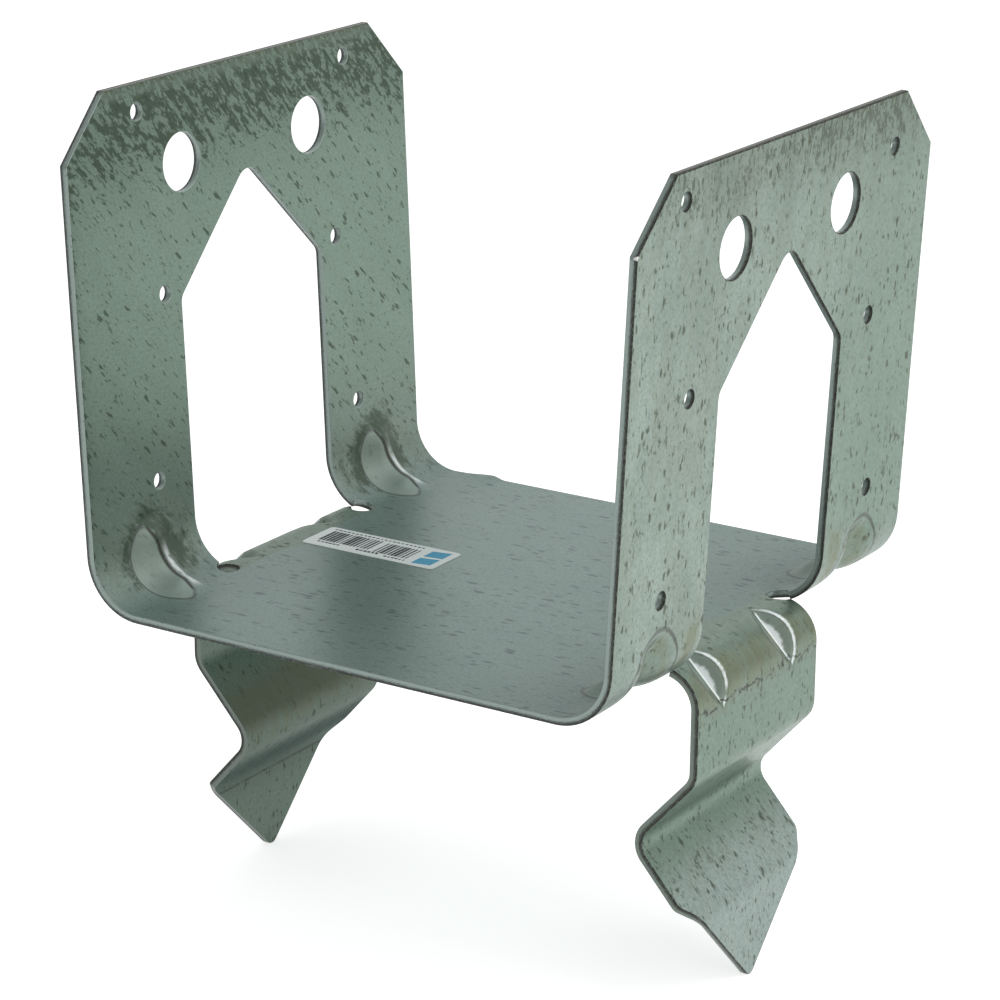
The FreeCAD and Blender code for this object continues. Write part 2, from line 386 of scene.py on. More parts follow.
class FoldedSheet:
    """The flat blank of the post base, and the folds and pressings that shape it.

    A point of the blank is (s, y): s runs out from the middle of the plate along the middle of
    the sheet, and y along the folds. The legs lie within the windows of the blank."""

    edge_step = 1.0 * MM
    probe = 0.01 * MM

    def __init__(self, sizes):
        self.sizes = sizes
        self.half = sizes.sheet / 2
        self.half_post = sizes.post_width / 2
        self.half_depth = sizes.base_depth / 2
        self.half_window = sizes.window_width / 2
        self.half_leg = self.half_window - sizes.shear_gap
        self.slope = 1 / math.tan(sizes.point_angle / 2)
        self.up = np.array([math.sin(sizes.lean), math.cos(sizes.lean)])
        self.channel = self.channel_walk()
        self.fold_line = self.channel.lengths[0]
        self.fold_end = self.channel.starts[2]
        self.top = self.channel.starts[-1]
        apex = sizes.window_shoulder + self.half_window * self.slope
        self.window_shoulder = self.blank_height(sizes.window_shoulder)
        self.window_tip = self.blank_height(apex)
        self.leg_tip = self.window_tip - sizes.tip_gap
        self.leg_shoulder = self.leg_tip - self.half_leg * self.slope
        blunt = 1 / math.sin(sizes.point_angle / 2) - 1
        rounded_window = self.window_tip - sizes.window_tip_radius * blunt
        rounded_leg = self.leg_tip - sizes.foot_tip_radius * blunt
        self.tip_split = (rounded_window + rounded_leg) / 2
        self.leg_face = self.half_post + sizes.sheet
        self.leg = self.leg_walk()
        self.ridge, self.ridge_end, self.valley, _, self.leg_end = self.leg.starts[5:]
        self.stretch = self.leg_end / (self.leg_tip - self.fold_line)

    def channel_walk(self):
        """Half of the channel, from the middle of the plate to the top of an upright."""
        corner = np.array([self.half_post, 0.0])
        top = corner + self.up * self.sizes.upright_height
        middle = middle_line([(0.0, 0.0), corner, top], self.half)
        return Walk(middle, np.array([self.sizes.fold_radius]) + self.half)

    def leg_walk(self):
        """A leg from the fold line to its point: root bend, straight, kink and foot."""
        sizes = self.sizes
        kink_floor = -sizes.leg_straight - sizes.kink_height
        tip = kink_floor + sizes.foot_shoulder_rise - self.half_leg * self.slope
        outer = [
            (self.fold_line, 0.0),
            (self.leg_face, 0.0),
            (self.leg_face, -sizes.leg_straight),
            (self.leg_face - sizes.kink_depth, -sizes.leg_straight - sizes.kink_height / 2),
            (self.leg_face, kink_floor),
            (self.leg_face, tip),
        ]
        radii = np.array([sizes.leg_root_radius] + [sizes.leg_bend_radius] * 3)
        return Walk(middle_line(outer, self.half), radii + self.half)

    def blank_height(self, height):
        """Place on the blank of a height above the plate on an upright."""
        lost = self.sizes.fold_radius * math.tan(math.pi / 4 - self.sizes.lean / 2)
        return self.fold_end + height / math.cos(self.sizes.lean) - lost

    def on_leg(self, blank):
        """True where a point of the blank belongs to a leg."""
        away = np.abs(blank[:, 0])
        side = self.half_window - self.sizes.shear_gap / 2
        point = (self.window_tip - self.sizes.tip_gap / 2 - away) / self.slope
        within_point = np.abs(blank[:, 1]) < np.minimum(side, point)
        return (away > self.fold_line) & (away < self.tip_split) & within_point

    def gusset_place(self, blank):
        """Place across the fold and along it, counted in half lengths and widths of a gusset."""
        sizes = self.sizes
        middle = (self.fold_line + self.fold_end) / 2 + sizes.gusset_offset
        across_fold = (np.abs(blank[:, 0]) - middle) / sizes.gusset_half_length
        along_fold = (np.abs(blank[:, 1]) - sizes.gusset_spacing / 2) / sizes.gusset_half_width
        return across_fold, along_fold

    def gusset_press(self, blank):
        """How far the fold is pressed in at a gusset: a ridge with hollow sides and round ends."""
        across_fold, along_fold = self.gusset_place(blank)
        ends = fade(np.abs(across_fold), GUSSET_FLAT, 1.0)
        sides = np.exp(-np.hypot(along_fold / GUSSET_RIDGE, 0.25) ** 1.7)
        return self.sizes.gusset_rise * ends * sides

    def behind_dart(self, blank):
        """Distance behind the valley of the nearer dart of a leg."""
        return blank[:, 1] - np.copysign(self.sizes.dart_spacing / 2, blank[:, 1])

    def dart_press(self, blank):
        """Target depth of a dart across a leg's root bend, and its direction."""
        sizes = self.sizes
        behind = self.behind_dart(blank)
        front, back = 1 / math.tan(sizes.dart_front), 1 / math.tan(sizes.dart_back)
        away = np.hypot(behind, sizes.dart_root) - sizes.dart_root
        rise = (back - front) / 2 * behind + (back + front) / 2 * away
        return sizes.dart_reach * math.sqrt(0.5) + self.half - rise, np.array([-1.0, -1.0]) * math.sqrt(0.5)

    def leg_run(self, blank):
        """Length walked along a leg from the fold line."""
        return (np.abs(blank[:, 0]) - self.fold_line) * self.stretch

    @staticmethod
    def pressed(x, z, corner, target, inward, softness):
        """Points pushed inward until they reach the target beyond a corner, and how far."""
        reach = (x - corner[0]) * inward[0] + (z - corner[1]) * inward[1]
        rise = soft_rise(target - reach, softness)
        return x + inward[0] * rise, z + inward[1] * rise, rise

    def unevenness(self, blank):
        """Gentle waves that rolling and folding leave in the sheet."""
        s, y = blank.T / (40 * MM)
        waves = np.sin(1.9 * s + 0.7 * y) + np.sin(0.8 * s - 1.7 * y + 1.3) + 0.6 * np.sin(2.7 * y + 0.4)
        beside = blank[:, 0] - self.sizes.nick_x
        beside = np.where(beside < 0, beside * 0.3, beside)
        nick = np.hypot(beside, (self.half_depth - blank[:, 1]) * 0.4)
        return self.sizes.ripple * waves / 2.6 + self.sizes.nick_rise * np.exp(-(nick / (1.8 * MM)) ** 2)

    def shape(self, blank):
        """Points of the sheet's middle for points of the blank, and how far they were pressed."""
        side = np.where(blank[:, 0] < 0, -1.0, 1.0)
        away = np.abs(blank[:, 0])
        leg = self.on_leg(blank)
        x, z, heading = self.channel.at(away)
        leg_x, leg_z, leg_heading = self.leg.at(self.leg_run(blank))
        rise = self.gusset_press(blank)
        x, z = x - np.sin(heading) * rise, z + np.cos(heading) * rise
        dart, inward = self.dart_press(blank)
        leg_corner = (self.leg_face, 0.0)
        leg_x, leg_z, leg_rise = self.pressed(
            leg_x, leg_z, leg_corner, dart, inward, self.sizes.dart_shoulder)
        x, z = np.where(leg, leg_x, x), np.where(leg, leg_z, z)
        heading = np.where(leg, leg_heading, heading)
        wave = self.unevenness(blank)
        points = np.stack([side * (x - np.sin(heading) * wave), blank[:, 1], z + np.cos(heading) * wave], 1)
        return points, np.where(leg, leg_rise, rise)

    def surface(self, blank):
        """Points, directions along s and y, and upper normals of the sheet's middle."""
        along_s = np.array([self.probe, 0.0])
        along_y = np.array([0.0, self.probe])
        points, rise = self.shape(blank)
        run_s = self.shape(blank + along_s)[0] - self.shape(blank - along_s)[0]
        run_y = self.shape(blank + along_y)[0] - self.shape(blank - along_y)[0]
        run_s /= np.linalg.norm(run_s, axis=1)[:, None]
        run_y /= np.linalg.norm(run_y, axis=1)[:, None]
        normals = np.cross(run_s, run_y)
        normals /= np.linalg.norm(normals, axis=1)[:, None]
        return points, run_s, run_y, normals, rise

    def outline(self):
        """Outer edge of the blank, with its top corners cut."""
        cut_s = self.top - self.sizes.corner_cut / math.cos(self.sizes.lean)
        cut_y = self.half_depth - self.sizes.corner_cut
        quarter = [(cut_s, self.half_depth), (self.top, cut_y)]
        front = [(s, -y) for s, y in quarter]
        back = [(s, y) for s, y in quarter[::-1]]
        right = front + back
        left = [(-s, -y) for s, y in right]
        loop = np.array(right + left + right[:1])
        return wound(divided(loop, self.edge_step), clockwise=False)

    def slit(self, side):
        """Cut round a leg, between the relief holes at the fold line."""
        sizes = self.sizes
        radius = sizes.relief_hole / 2
        middle = self.fold_line + radius
        step = self.edge_step
        meet = math.degrees(math.asin(sizes.shear_gap / radius))
        rim = middle + radius
        leg_rim = middle + radius * math.cos(math.radians(meet))
        window = rounded_path(
            [(rim, self.half_window), (self.window_shoulder, self.half_window), (self.window_tip, 0.0),
             (self.window_shoulder, -self.half_window), (rim, -self.half_window)],
            [sizes.window_shoulder_radius, sizes.window_tip_radius, sizes.window_shoulder_radius], step / 2)
        leg = rounded_path(
            [(leg_rim, -self.half_leg), (self.leg_shoulder, -self.half_leg), (self.leg_tip, 0.0),
             (self.leg_shoulder, self.half_leg), (leg_rim, self.half_leg)],
            [sizes.foot_tip_radius] * 3, step / 2)
        loop = np.concatenate([
            arc((middle, self.half_window), radius, 180, 0, step / 2), window,
            arc((middle, -self.half_window), radius, 0, -180, step / 2),
            arc((middle, -self.half_window), radius, 180, meet, step / 2), leg,
            arc((middle, self.half_window), radius, -meet, -180, step / 2)])
        return wound(loop * (side, 1.0), clockwise=True)

    def hole(self, side, y, height, diameter):
        """Round hole through an upright."""
        centre = (side * self.blank_height(height), y)
        return wound(arc(centre, diameter / 2, 0, 360, self.edge_step / 2), clockwise=True)

    def holes(self):
        """Bolt and nail holes: the rows that the record measures, and the staggered top pair."""
        loops = []
        for row in HOLE_ROWS:
            half = row["dims"]["spacing_x_mm"] * MM / 2
            diameter = 2 * row["dims"]["hole_r_mm"] * MM
            loops += [self.hole(row["axis"][0], y, row["pos_m"][2], diameter) for y in (-half, half)]
        half = self.sizes.right_top_nails / 2
        height = self.sizes.right_top_nail_height
        drop = self.sizes.right_back_nail_drop
        loops.append(self.hole(1, -half, height, self.sizes.nail_hole))
        loops.append(self.hole(1, half, height - drop, self.sizes.nail_hole))
        return loops

    def loops(self):
        return [self.outline(), self.slit(1), self.slit(-1)] + self.holes()


# Mesh of the sheet

class SheetMesher:
    """Fills the blank with points, fine where it is pressed and bent, and joins them to triangles."""

    run_step = 4.0 * MM
    fold_step = 0.8 * MM
    leg_bend_step = 0.6 * MM
    across_step = 3.0 * MM
    gusset_step = 0.75 * MM
    dart_step = 0.55 * MM
    gusset_patch = (18.0 * MM, 12.0 * MM)
    dart_patch = (12.0 * MM, 7.5 * MM)
    margin = 0.6

    def __init__(self, sheet):
        self.sheet = sheet
        self.loops = sheet.loops()
        self.outward = [outward(loop) for loop in self.loops]
        self.insets = [loop - way * sheet.sizes.edge_round for loop, way in zip(self.loops, self.outward)]

    def gusset_centre(self):
        return (self.sheet.fold_line + self.sheet.fold_end) / 2, self.sheet.sizes.gusset_spacing / 2

    def dart_centre(self):
        root = self.sheet.leg.starts[1] + self.sheet.leg.lengths[1] / 2
        return self.sheet.fold_line + root / self.sheet.stretch, self.sheet.sizes.dart_spacing / 2

    @staticmethod
    def patch(centre, half, step):
        """Fine points over a rectangle, in front and at the back."""
        s = np.arange(centre[0] - half[0], centre[0] + half[0], step)
        y = np.arange(centre[1] - half[1], centre[1] + half[1], step)
        grid = np.stack(np.meshgrid(s, y, indexing="ij"), axis=-1)
        grid[1::2, :, 1] += step / 2
        flat = grid.reshape(-1, 2)
        return np.concatenate([flat, flat * (1, -1)])

    @staticmethod
    def outside(points, centre, half):
        """Points that lie outside a patch and its copy."""
        s = np.abs(points[:, 0] - centre[0]) > half[0]
        y = np.abs(np.abs(points[:, 1]) - centre[1]) > half[1]
        return points[s | y]

    def rows(self, stations, half_width):
        """Rows of points across the sheet at the given stations."""
        count = round(half_width / self.across_step)
        y = np.linspace(-half_width, half_width, 2 * count + 1)
        grid = np.stack(np.meshgrid(stations, y, indexing="ij"), axis=-1)
        return grid.reshape(-1, 2)

    def right_points(self):
        """Inner points of the right half of the blank, with their least distance to an edge."""
        sheet = self.sheet
        channel = self.rows(sheet.channel.stations(self.run_step, self.fold_step), sheet.half_depth)
        channel = channel[~sheet.on_leg(channel)]
        channel = self.outside(channel, self.gusset_centre(), self.gusset_patch)
        leg_marks = sheet.leg.stations(self.run_step, self.leg_bend_step)[1:]
        leg = self.rows(sheet.fold_line + leg_marks / sheet.stretch, sheet.half_leg)
        leg = leg[sheet.on_leg(leg)]
        leg = self.outside(leg, self.dart_centre(), self.dart_patch)
        gussets = self.patch(self.gusset_centre(), self.gusset_patch, self.gusset_step)
        gussets = gussets[~sheet.on_leg(gussets)]
        darts = self.patch(self.dart_centre(), self.dart_patch, self.dart_step)
        darts = darts[sheet.on_leg(darts) | (darts[:, 0] < sheet.fold_line)]
        channel = self.outside(channel, self.dart_centre(), self.dart_patch)
        sets = [(channel, self.fold_step), (leg, self.leg_bend_step),
                (gussets, self.gusset_step), (darts, self.dart_step)]
        return [(points, step * self.margin) for points, step in sets]

    def inner_points(self, tree):
        """Inner points of the whole blank that keep clear of the edges."""
        kept = []
        for points, clear in self.right_points():
            both = np.concatenate([points, points[points[:, 0] > MM] * (-1, 1)])
            kept += [p for p in both if tree.find((p[0], p[1], 0))[2] > clear]
        return np.array(kept)

    def edge_tree(self):
        """Search tree over the points of all edges."""
        points = np.concatenate(self.insets)
        tree = kdtree.KDTree(len(points))
        for index, point in enumerate(points):
            tree.insert((point[0], point[1], 0), index)
        tree.balance()
        return tree

    def edge_rings(self):
        """Numbers of the points along each edge."""
        ends = np.cumsum([len(loop) for loop in self.insets])
        return [np.arange(end - len(loop), end) for end, loop in zip(ends, self.insets)]

    def triangulate(self):
        """Points of the blank, its triangles and the rings of points along its edges."""
        points = np.concatenate(self.insets + [self.inner_points(self.edge_tree())])
        rings = self.edge_rings()
        edges = [pair for ring in rings for pair in zip(ring.tolist(), np.roll(ring, -1).tolist())]
        result = delaunay_2d_cdt([Vector(point) for point in points], edges, [], 1, 1e-8)
        blank = np.array([tuple(point) for point in result[0]])
        number_of = {source: index for index, sources in enumerate(result[3]) for source in sources}
        rings = [np.array([number_of[index] for index in ring]) for ring in rings]
        triangles = self.facing_up(blank, np.array(result[2]))
        middles = blank[triangles].mean(axis=1)
        for loop in self.insets[1:]:
            cut_out = within(middles, loop)
            triangles, middles = triangles[~cut_out], middles[~cut_out]
        return self.compact(blank, triangles, rings)

    @staticmethod
    def facing_up(blank, triangles):
        """Triangles whose corners all turn to the left."""
        corners = blank[triangles]
        turns = np.cross(corners[:, 1] - corners[:, 0], corners[:, 2] - corners[:, 0])
        return np.where(turns[:, None] < 0, triangles[:, ::-1], triangles)

    @staticmethod
    def compact(blank, triangles, rings):
        """The same triangles and rings without the points that none of them uses."""
        used = np.unique(np.concatenate([triangles.ravel()] + rings))
        number = np.full(len(blank), -1)
        number[used] = np.arange(len(used))
        return blank[used], number[triangles], [number[ring] for ring in rings]


class SheetShell:
    """Points and faces of the sheet's two faces and of the rounded edges between them."""

    rim_rows = [(45, 1), (90, 1), (90, -1), (45, -1)]

    def __init__(self, sheet, blank, triangles):
        self.sheet = sheet
        self.blank = blank
        self.middle, self.run_s, self.run_y, self.normals, self.rise = sheet.surface(blank)
        self.count = len(blank)
        self.total = 2 * self.count
        numbers = np.arange(self.count)
        self.points, self.point_normals, self.sources, self.depths = [], [], [], []
        self.add_points(numbers, self.normals * sheet.half, self.normals, 0.0)
        self.add_points(numbers, self.normals * -sheet.half, -self.normals, 1.0)
        self.faces = triangles.tolist() + (triangles[:, ::-1] + self.count).tolist()
        self.materials = [0] * len(self.faces)

    def add_points(self, sources, offsets, normals, depth):
        """Points moved off the sheet's middle, with the depth below its upper face."""
        self.points.append(self.middle[sources] + offsets)
        self.point_normals.append(normals)
        self.sources.append(sources)
        self.depths.append(np.full(len(sources), depth))

    def add_rim_row(self, ring, out, turn, face):
        """A row of points round an edge, turned out of one face by an angle in degrees."""
        half, radius = self.sheet.half, self.sheet.sizes.edge_round
        sine, cosine = math.sin(math.radians(turn)), math.cos(math.radians(turn))
        lift = face * (half - radius + radius * cosine)
        normals = self.normals[ring]
        level_out = out / np.linalg.norm(out, axis=1)[:, None]
        self.add_points(ring, out * radius * sine + normals * lift,
                        level_out * sine + normals * cosine * face, 0.5 - lift / (2 * half))
        self.total += len(ring)
        return np.arange(self.total - len(ring), self.total)

    def add_rim(self, ring, way):
        """Closes the space between the two faces along one edge of the blank."""
        out = self.run_s[ring] * way[:, :1] + self.run_y[ring] * way[:, 1:]
        rows = [self.add_rim_row(ring, out, turn, face) for turn, face in self.rim_rows]
        rows = [ring] + rows + [ring + self.count]
        for upper, lower in zip(rows, rows[1:]):
            quads = np.stack([upper, lower, np.roll(lower, -1), np.roll(upper, -1)], axis=1)
            self.faces += quads.tolist()
            self.materials += [1] * len(ring)

    def mesh(self, name):
        mesh = bpy.data.meshes.new(name)
        mesh.from_pydata(np.concatenate(self.points).tolist(), [], self.faces)
        mesh.polygons.foreach_set("material_index", self.materials)
        mesh.polygons.foreach_set("use_smooth", [True] * len(self.faces))
        mesh.update()
        mesh.normals_split_custom_set_from_vertices(np.concatenate(self.point_normals).tolist())
        source = np.concatenate(self.sources)
        marks = SheetMarks(self.sheet, self.blank[source], np.concatenate(self.depths), self.rise[source])
        marks.write(mesh)
        return mesh


def build_sheet_mesh(sheet, name):
    """Solid mesh of the folded sheet, with the attributes that its finish reads."""
    mesher = SheetMesher(sheet)
    blank, triangles, rings = mesher.triangulate()
    shell = SheetShell(sheet, blank, triangles)
    for ring, way in zip(rings, mesher.outward):
        shell.add_rim(ring, way)
    return shell.mesh(name)


def bell(value, width):
    """1 at zero, falling smoothly to nothing over a few widths."""
    return np.exp(-(value / width) ** 2)


class SheetMarks:
    """Coordinates and soft masks for the finish, one value for each point of the mesh."""

    def __init__(self, sheet, blank, depth, rise):
        self.sheet = sheet
        self.s, self.y = blank.T
        self.depth = depth
        self.rise = rise
        self.leg = sheet.on_leg(blank)
        self.left = self.s < 0
        # The blank's upper face is the inner side of the uprights and the outer side of the legs
        self.inside = depth < 0.5
        self.leg_inside = self.leg & ~self.inside
        self.run = sheet.leg_run(blank)
        self.behind_dart = sheet.behind_dart(blank)
        self.foot = 1 - fade(self.run, sheet.ridge_end, sheet.valley)
        self.below_top = sheet.top - np.abs(self.s)
        self.upright = 1 - fade(np.abs(self.s), sheet.fold_line, sheet.fold_end)
        self.across_fold, self.along_fold = sheet.gusset_place(blank)
        self.to_back = self.along_fold * np.sign(self.y)

    def write(self, mesh):
        self.write_vector(mesh, "blank", self.s, self.y + self.drift(), self.layer())
        self.write_vector(mesh, "gusset", self.across_fold, self.to_back, np.where(self.leg, 0.5, self.depth))
        self.write_vector(mesh, "leg", self.run, self.rise * self.leg, self.leg * 1.0)
        # The corner glint and the pale tone of the feet are painted light; the kink strip and the shade mask
        # are painted shade
        masks = {
            "cut": np.where(self.leg, 1 - self.depth, self.depth),
            "painted_glint": self.painted_glint(),
            "dull": self.dull(),
            "pale": self.pale(),
            "kink": self.kink(),
            "behind_dart": self.behind_dart,
            "band": self.band(),
            "brown": self.brown(),
            "shade": self.shade(),
            "stain": self.stain(),
            "olive": self.olive(),
            "plate": (1 - self.upright) * ~self.leg,
        }
        for name, values in masks.items():
            mesh.attributes.new(name, "FLOAT", "POINT").data.foreach_set("value", values)

    @staticmethod
    def write_vector(mesh, name, *parts):
        values = np.stack(parts, axis=1).ravel()
        mesh.attributes.new(name, "FLOAT_VECTOR", "POINT").data.foreach_set("vector", values)

    def drift(self):
        """Sideways slant of the flecks inside the left upright."""
        slanted = self.left & self.inside & ~self.leg
        return np.where(slanted, FLECK_SKEW, 0.0) * np.maximum(np.abs(self.s) - self.sheet.fold_end, 0)

    def layer(self):
        """Number that keeps the patterns of the two faces and of the legs apart."""
        return np.where(self.inside, 0.0, 0.5) + np.where(self.leg, 0.2, 0.0)

    def painted_glint(self):
        """Small painted highlight at the front corner of the right upright."""
        corner = self.sheet.top - self.sheet.sizes.corner_cut
        spot = bell(np.hypot(self.s - corner, self.y + self.sheet.half_depth), 0.6 * MM)
        return spot * ~self.leg * ~self.inside

    def dull(self):
        """Zinc that has lost its shine: inside the legs, on their feet, at the left root and the folds."""
        fold = np.where(self.inside, 0.9 * bell(self.across_fold, 1.9), 0.15 * bell(self.across_fold, 1.3))
        root = self.left * fade(self.run, 8 * MM, 14 * MM)
        outside = np.maximum(root, 0.25 + 0.5 * self.foot)
        return np.where(self.leg_inside, 1.0, np.where(self.leg, outside, fold))

    def pale(self):
        """Painted light: a pale bluish tone outside on the feet."""
        return self.foot * (self.leg & self.inside)

    def band(self):
        """Mottled band along the top edges: dense inside on the left, loose elsewhere."""
        dense = self.left & self.inside
        to_back = 1 - fade(self.y, -40 * MM, 40 * MM)
        strength = np.where(dense, 0.88, 0.78 + 0.06 * to_back)
        start, end = np.where(dense, 12 * MM, 3 * MM), np.where(dense, 44 * MM, 33 * MM)
        top = strength * fade(self.below_top, start, end)
        front = np.where(dense, 0.80, 0.45) * bell(self.y + self.sheet.half_depth, 3 * MM) * self.upright
        return np.where(self.leg, 0, np.maximum(top, front))

    def brown(self):
        """Browner marks: outside on the right, and along the top edges."""
        right_outside = ~self.left & ~self.inside
        return np.where(self.leg, 0.3, np.maximum(0.85 * right_outside, bell(self.below_top, 1.5 * MM)))

    def shade(self):
        """Painted shade: inside the left upright, at the back of the right one and on the legs."""
        inner_left = self.left & self.inside
        to_back = 1 - fade(self.y, -30 * MM, 60 * MM)
        low = 1 - fade(self.below_top, 30 * MM, 90 * MM)
        right = (0.6 + 0.4 * low) * to_back
        upright = np.where(inner_left, 0.85, np.where(self.left, 0.4, right)) * self.upright
        fold = 1 - 0.5 * bell(self.across_fold, 1.3)
        return np.where(self.leg_inside, 1.0, np.where(self.leg, 0.9 - 0.9 * self.foot, upright * fold))

    def stain(self):
        """Dark stain round the upper ends of the gussets, and a trace of it on the legs."""
        across, ahead = self.across_fold + GUSSET_DROP, self.to_back + GUSSET_AHEAD
        face = fade(np.hypot(across / GUSSET_FACE[0], ahead / GUSSET_FACE[1]), 0.94, 1.04)
        around = np.hypot(across / 0.9, self.along_fold / 0.8)
        ring = fade(around, 1.05, 1.8) * (1 - face * (self.to_back < 0))
        on_upright = 1 - fade(self.across_fold, -0.7, 0.3)
        inside = (0.12 * self.left + 0.72 * on_upright) * ring
        inside += self.left * 0.45 * bell(self.along_fold + 1.35, 0.5) * bell(self.across_fold - 0.2, 0.8)
        fold = np.where(self.inside, inside, 0.12 * bell(self.across_fold, 1.1))
        tip = bell(self.run - self.sheet.leg_end, 5 * MM)
        return np.where(self.leg, 0.1 + 0.5 * self.leg_inside * tip, fold)

    def kink(self):
        """Painted shade: a dark bluish strip inside the legs, below the kink."""
        start, end = self.sheet.ridge_end, self.sheet.valley
        return bell(self.run - 0.4 * start - 0.6 * end, 0.55 * (end - start)) * self.leg_inside

    def olive(self):
        """Olive cast: the bends of the legs, the outer recesses and the sides of the windows."""
        root = np.where(self.left, 0.5, 0.75) * bell(self.run - 14 * MM, 7 * MM)
        slope = self.leg_inside * bell(self.run - self.sheet.ridge + 3 * MM, 9 * MM)
        beside_window = bell(self.along_fold + 1.35, 0.4) * bell(self.across_fold - 0.45, 0.7)
        recess = fade(np.hypot(self.across_fold, self.along_fold), 0.75, 1.0)
        fold = np.where(self.inside, 0.25 * beside_window, np.maximum(0.55 * recess, 0.95 * beside_window))
        return np.where(self.leg, np.maximum(root, slope), fold)


# Shader nodes

def node(tree, kind, inputs=None, **settings):
    """A new node with its settings, whose inputs take values or links."""
    made = tree.nodes.new(kind)
    for key, value in settings.items():
        setattr(made, key, value)
    for key, value in (inputs or {}).items():
        socket = made.inputs[key]
        if isinstance(value, bpy.types.NodeSocket):
            tree.links.new(value, socket)
        else:
            socket.default_value = value
    return made


def maths(tree, operation, *values):
    return node(tree, "ShaderNodeMath", dict(enumerate(values)), operation=operation).outputs[0]


def vectors(tree, operation, inputs, output=0):
    return node(tree, "ShaderNodeVectorMath", inputs, operation=operation).outputs[output]


def ramp(tree, value, low, high):
    """Smooth step from 0 at low to 1 at high."""
    inputs = {"Value": value, "From Min": low, "From Max": high}
    return node(tree, "ShaderNodeMapRange", inputs, interpolation_type="SMOOTHSTEP").outputs[0]


def blend(tree, factor, first, second):
    """Mix of two colours."""
    inputs = {0: factor, 6: first, 7: second}
    return node(tree, "ShaderNodeMix", inputs, data_type="RGBA").outputs[2]


def opaque(rgb):
    return (*rgb, 1.0)


def new_group(name, inputs, outputs):
    """Empty shader group with named sockets, and its two end nodes."""
    tree = bpy.data.node_groups.new(name, "ShaderNodeTree")
    for label, kind in inputs:
        tree.interface.new_socket(label, in_out="INPUT", socket_type=kind)
    for label, kind in outputs:
        tree.interface.new_socket(label, in_out="OUTPUT", socket_type=kind)
    return tree, tree.nodes.new("NodeGroupInput").outputs, tree.nodes.new("NodeGroupOutput").inputs


def use_group(tree, group, inputs, output):
    return node(tree, "ShaderNodeGroup", inputs, node_tree=group).outputs[output]


def stretched(tree, vector, along_size, across_size):
    """Coordinates counted in sizes along the sheet and across it."""
    parts = node(tree, "ShaderNodeSeparateXYZ", {0: vector}).outputs
    along = maths(tree, "DIVIDE", parts[0], along_size)
    across = maths(tree, "DIVIDE", parts[1], across_size)
    layer = maths(tree, "MULTIPLY", parts[2], 97.0)
    return node(tree, "ShaderNodeCombineXYZ", {0: along, 1: across, 2: layer}).outputs[0]


def fleck_group():
    """Ragged flecks of uneven size, drawn out along the rolling direction."""
    inputs = [("Vector", VECTOR), ("Length", FLOAT), ("Width", FLOAT), ("Size", FLOAT), ("Ragged", FLOAT),
              ("Coverage", FLOAT)]
    tree, given, result = new_group("Zinc Flecks", inputs, [("Mask", FLOAT)])
    spot = stretched(tree, given["Vector"], given["Length"], given["Width"])
    noise = node(tree, "ShaderNodeTexNoise", {"Vector": spot, "Scale": 2.3, "Detail": 1.0})
    offset = vectors(tree, "SUBTRACT", {0: noise.outputs["Color"], 1: (0.5, 0.5, 0.5)})
    offset = vectors(tree, "SCALE", {0: offset, "Scale": given["Ragged"]})
    spot = vectors(tree, "ADD", {0: spot, 1: offset})
    cells = node(tree, "ShaderNodeTexVoronoi", {"Vector": spot, "Scale": 1.0})
    chance = node(tree, "ShaderNodeSeparateColor", {0: cells.outputs["Color"]}).outputs[0]
    luck = maths(tree, "SUBTRACT", given["Coverage"], chance)
    luck = maths(tree, "POWER", maths(tree, "MAXIMUM", luck, 0.0), 0.4)
    size = maths(tree, "ADD", maths(tree, "MULTIPLY", given["Size"], luck), 0.001)
    inner = maths(tree, "MULTIPLY", size, 0.5)
    mask = maths(tree, "SUBTRACT", 1.0, ramp(tree, cells.outputs["Distance"], inner, size))
    tree.links.new(mask, result["Mask"])
    return tree


def mottle_group():
    """Uneven patches, drawn out along the rolling direction."""
    inputs = [("Vector", VECTOR), ("Length", FLOAT), ("Width", FLOAT), ("Low", FLOAT), ("High", FLOAT)]
    tree, given, result = new_group("Zinc Mottle", inputs, [("Mask", FLOAT)])
    spot = stretched(tree, given["Vector"], given["Length"], given["Width"])
    noise = node(tree, "ShaderNodeTexNoise", {"Vector": spot, "Scale": 1.0, "Detail": 3.0, "Roughness": 0.6})
    level = maths(tree, "MULTIPLY_ADD", noise.outputs["Fac"], MOTTLE_CONTRAST, (1 - MOTTLE_CONTRAST) / 2)
    mask = ramp(tree, level, given["Low"], given["High"])
    tree.links.new(mask, result["Mask"])
    return tree


def new_material(name):
    material = bpy.data.materials.new(name)
    material.use_nodes = True
    material.node_tree.nodes.clear()
    return material, material.node_tree


def finish_material(tree, shader):
    output = node(tree, "ShaderNodeOutputMaterial")
    tree.links.new(shader.outputs[0], output.inputs["Surface"])


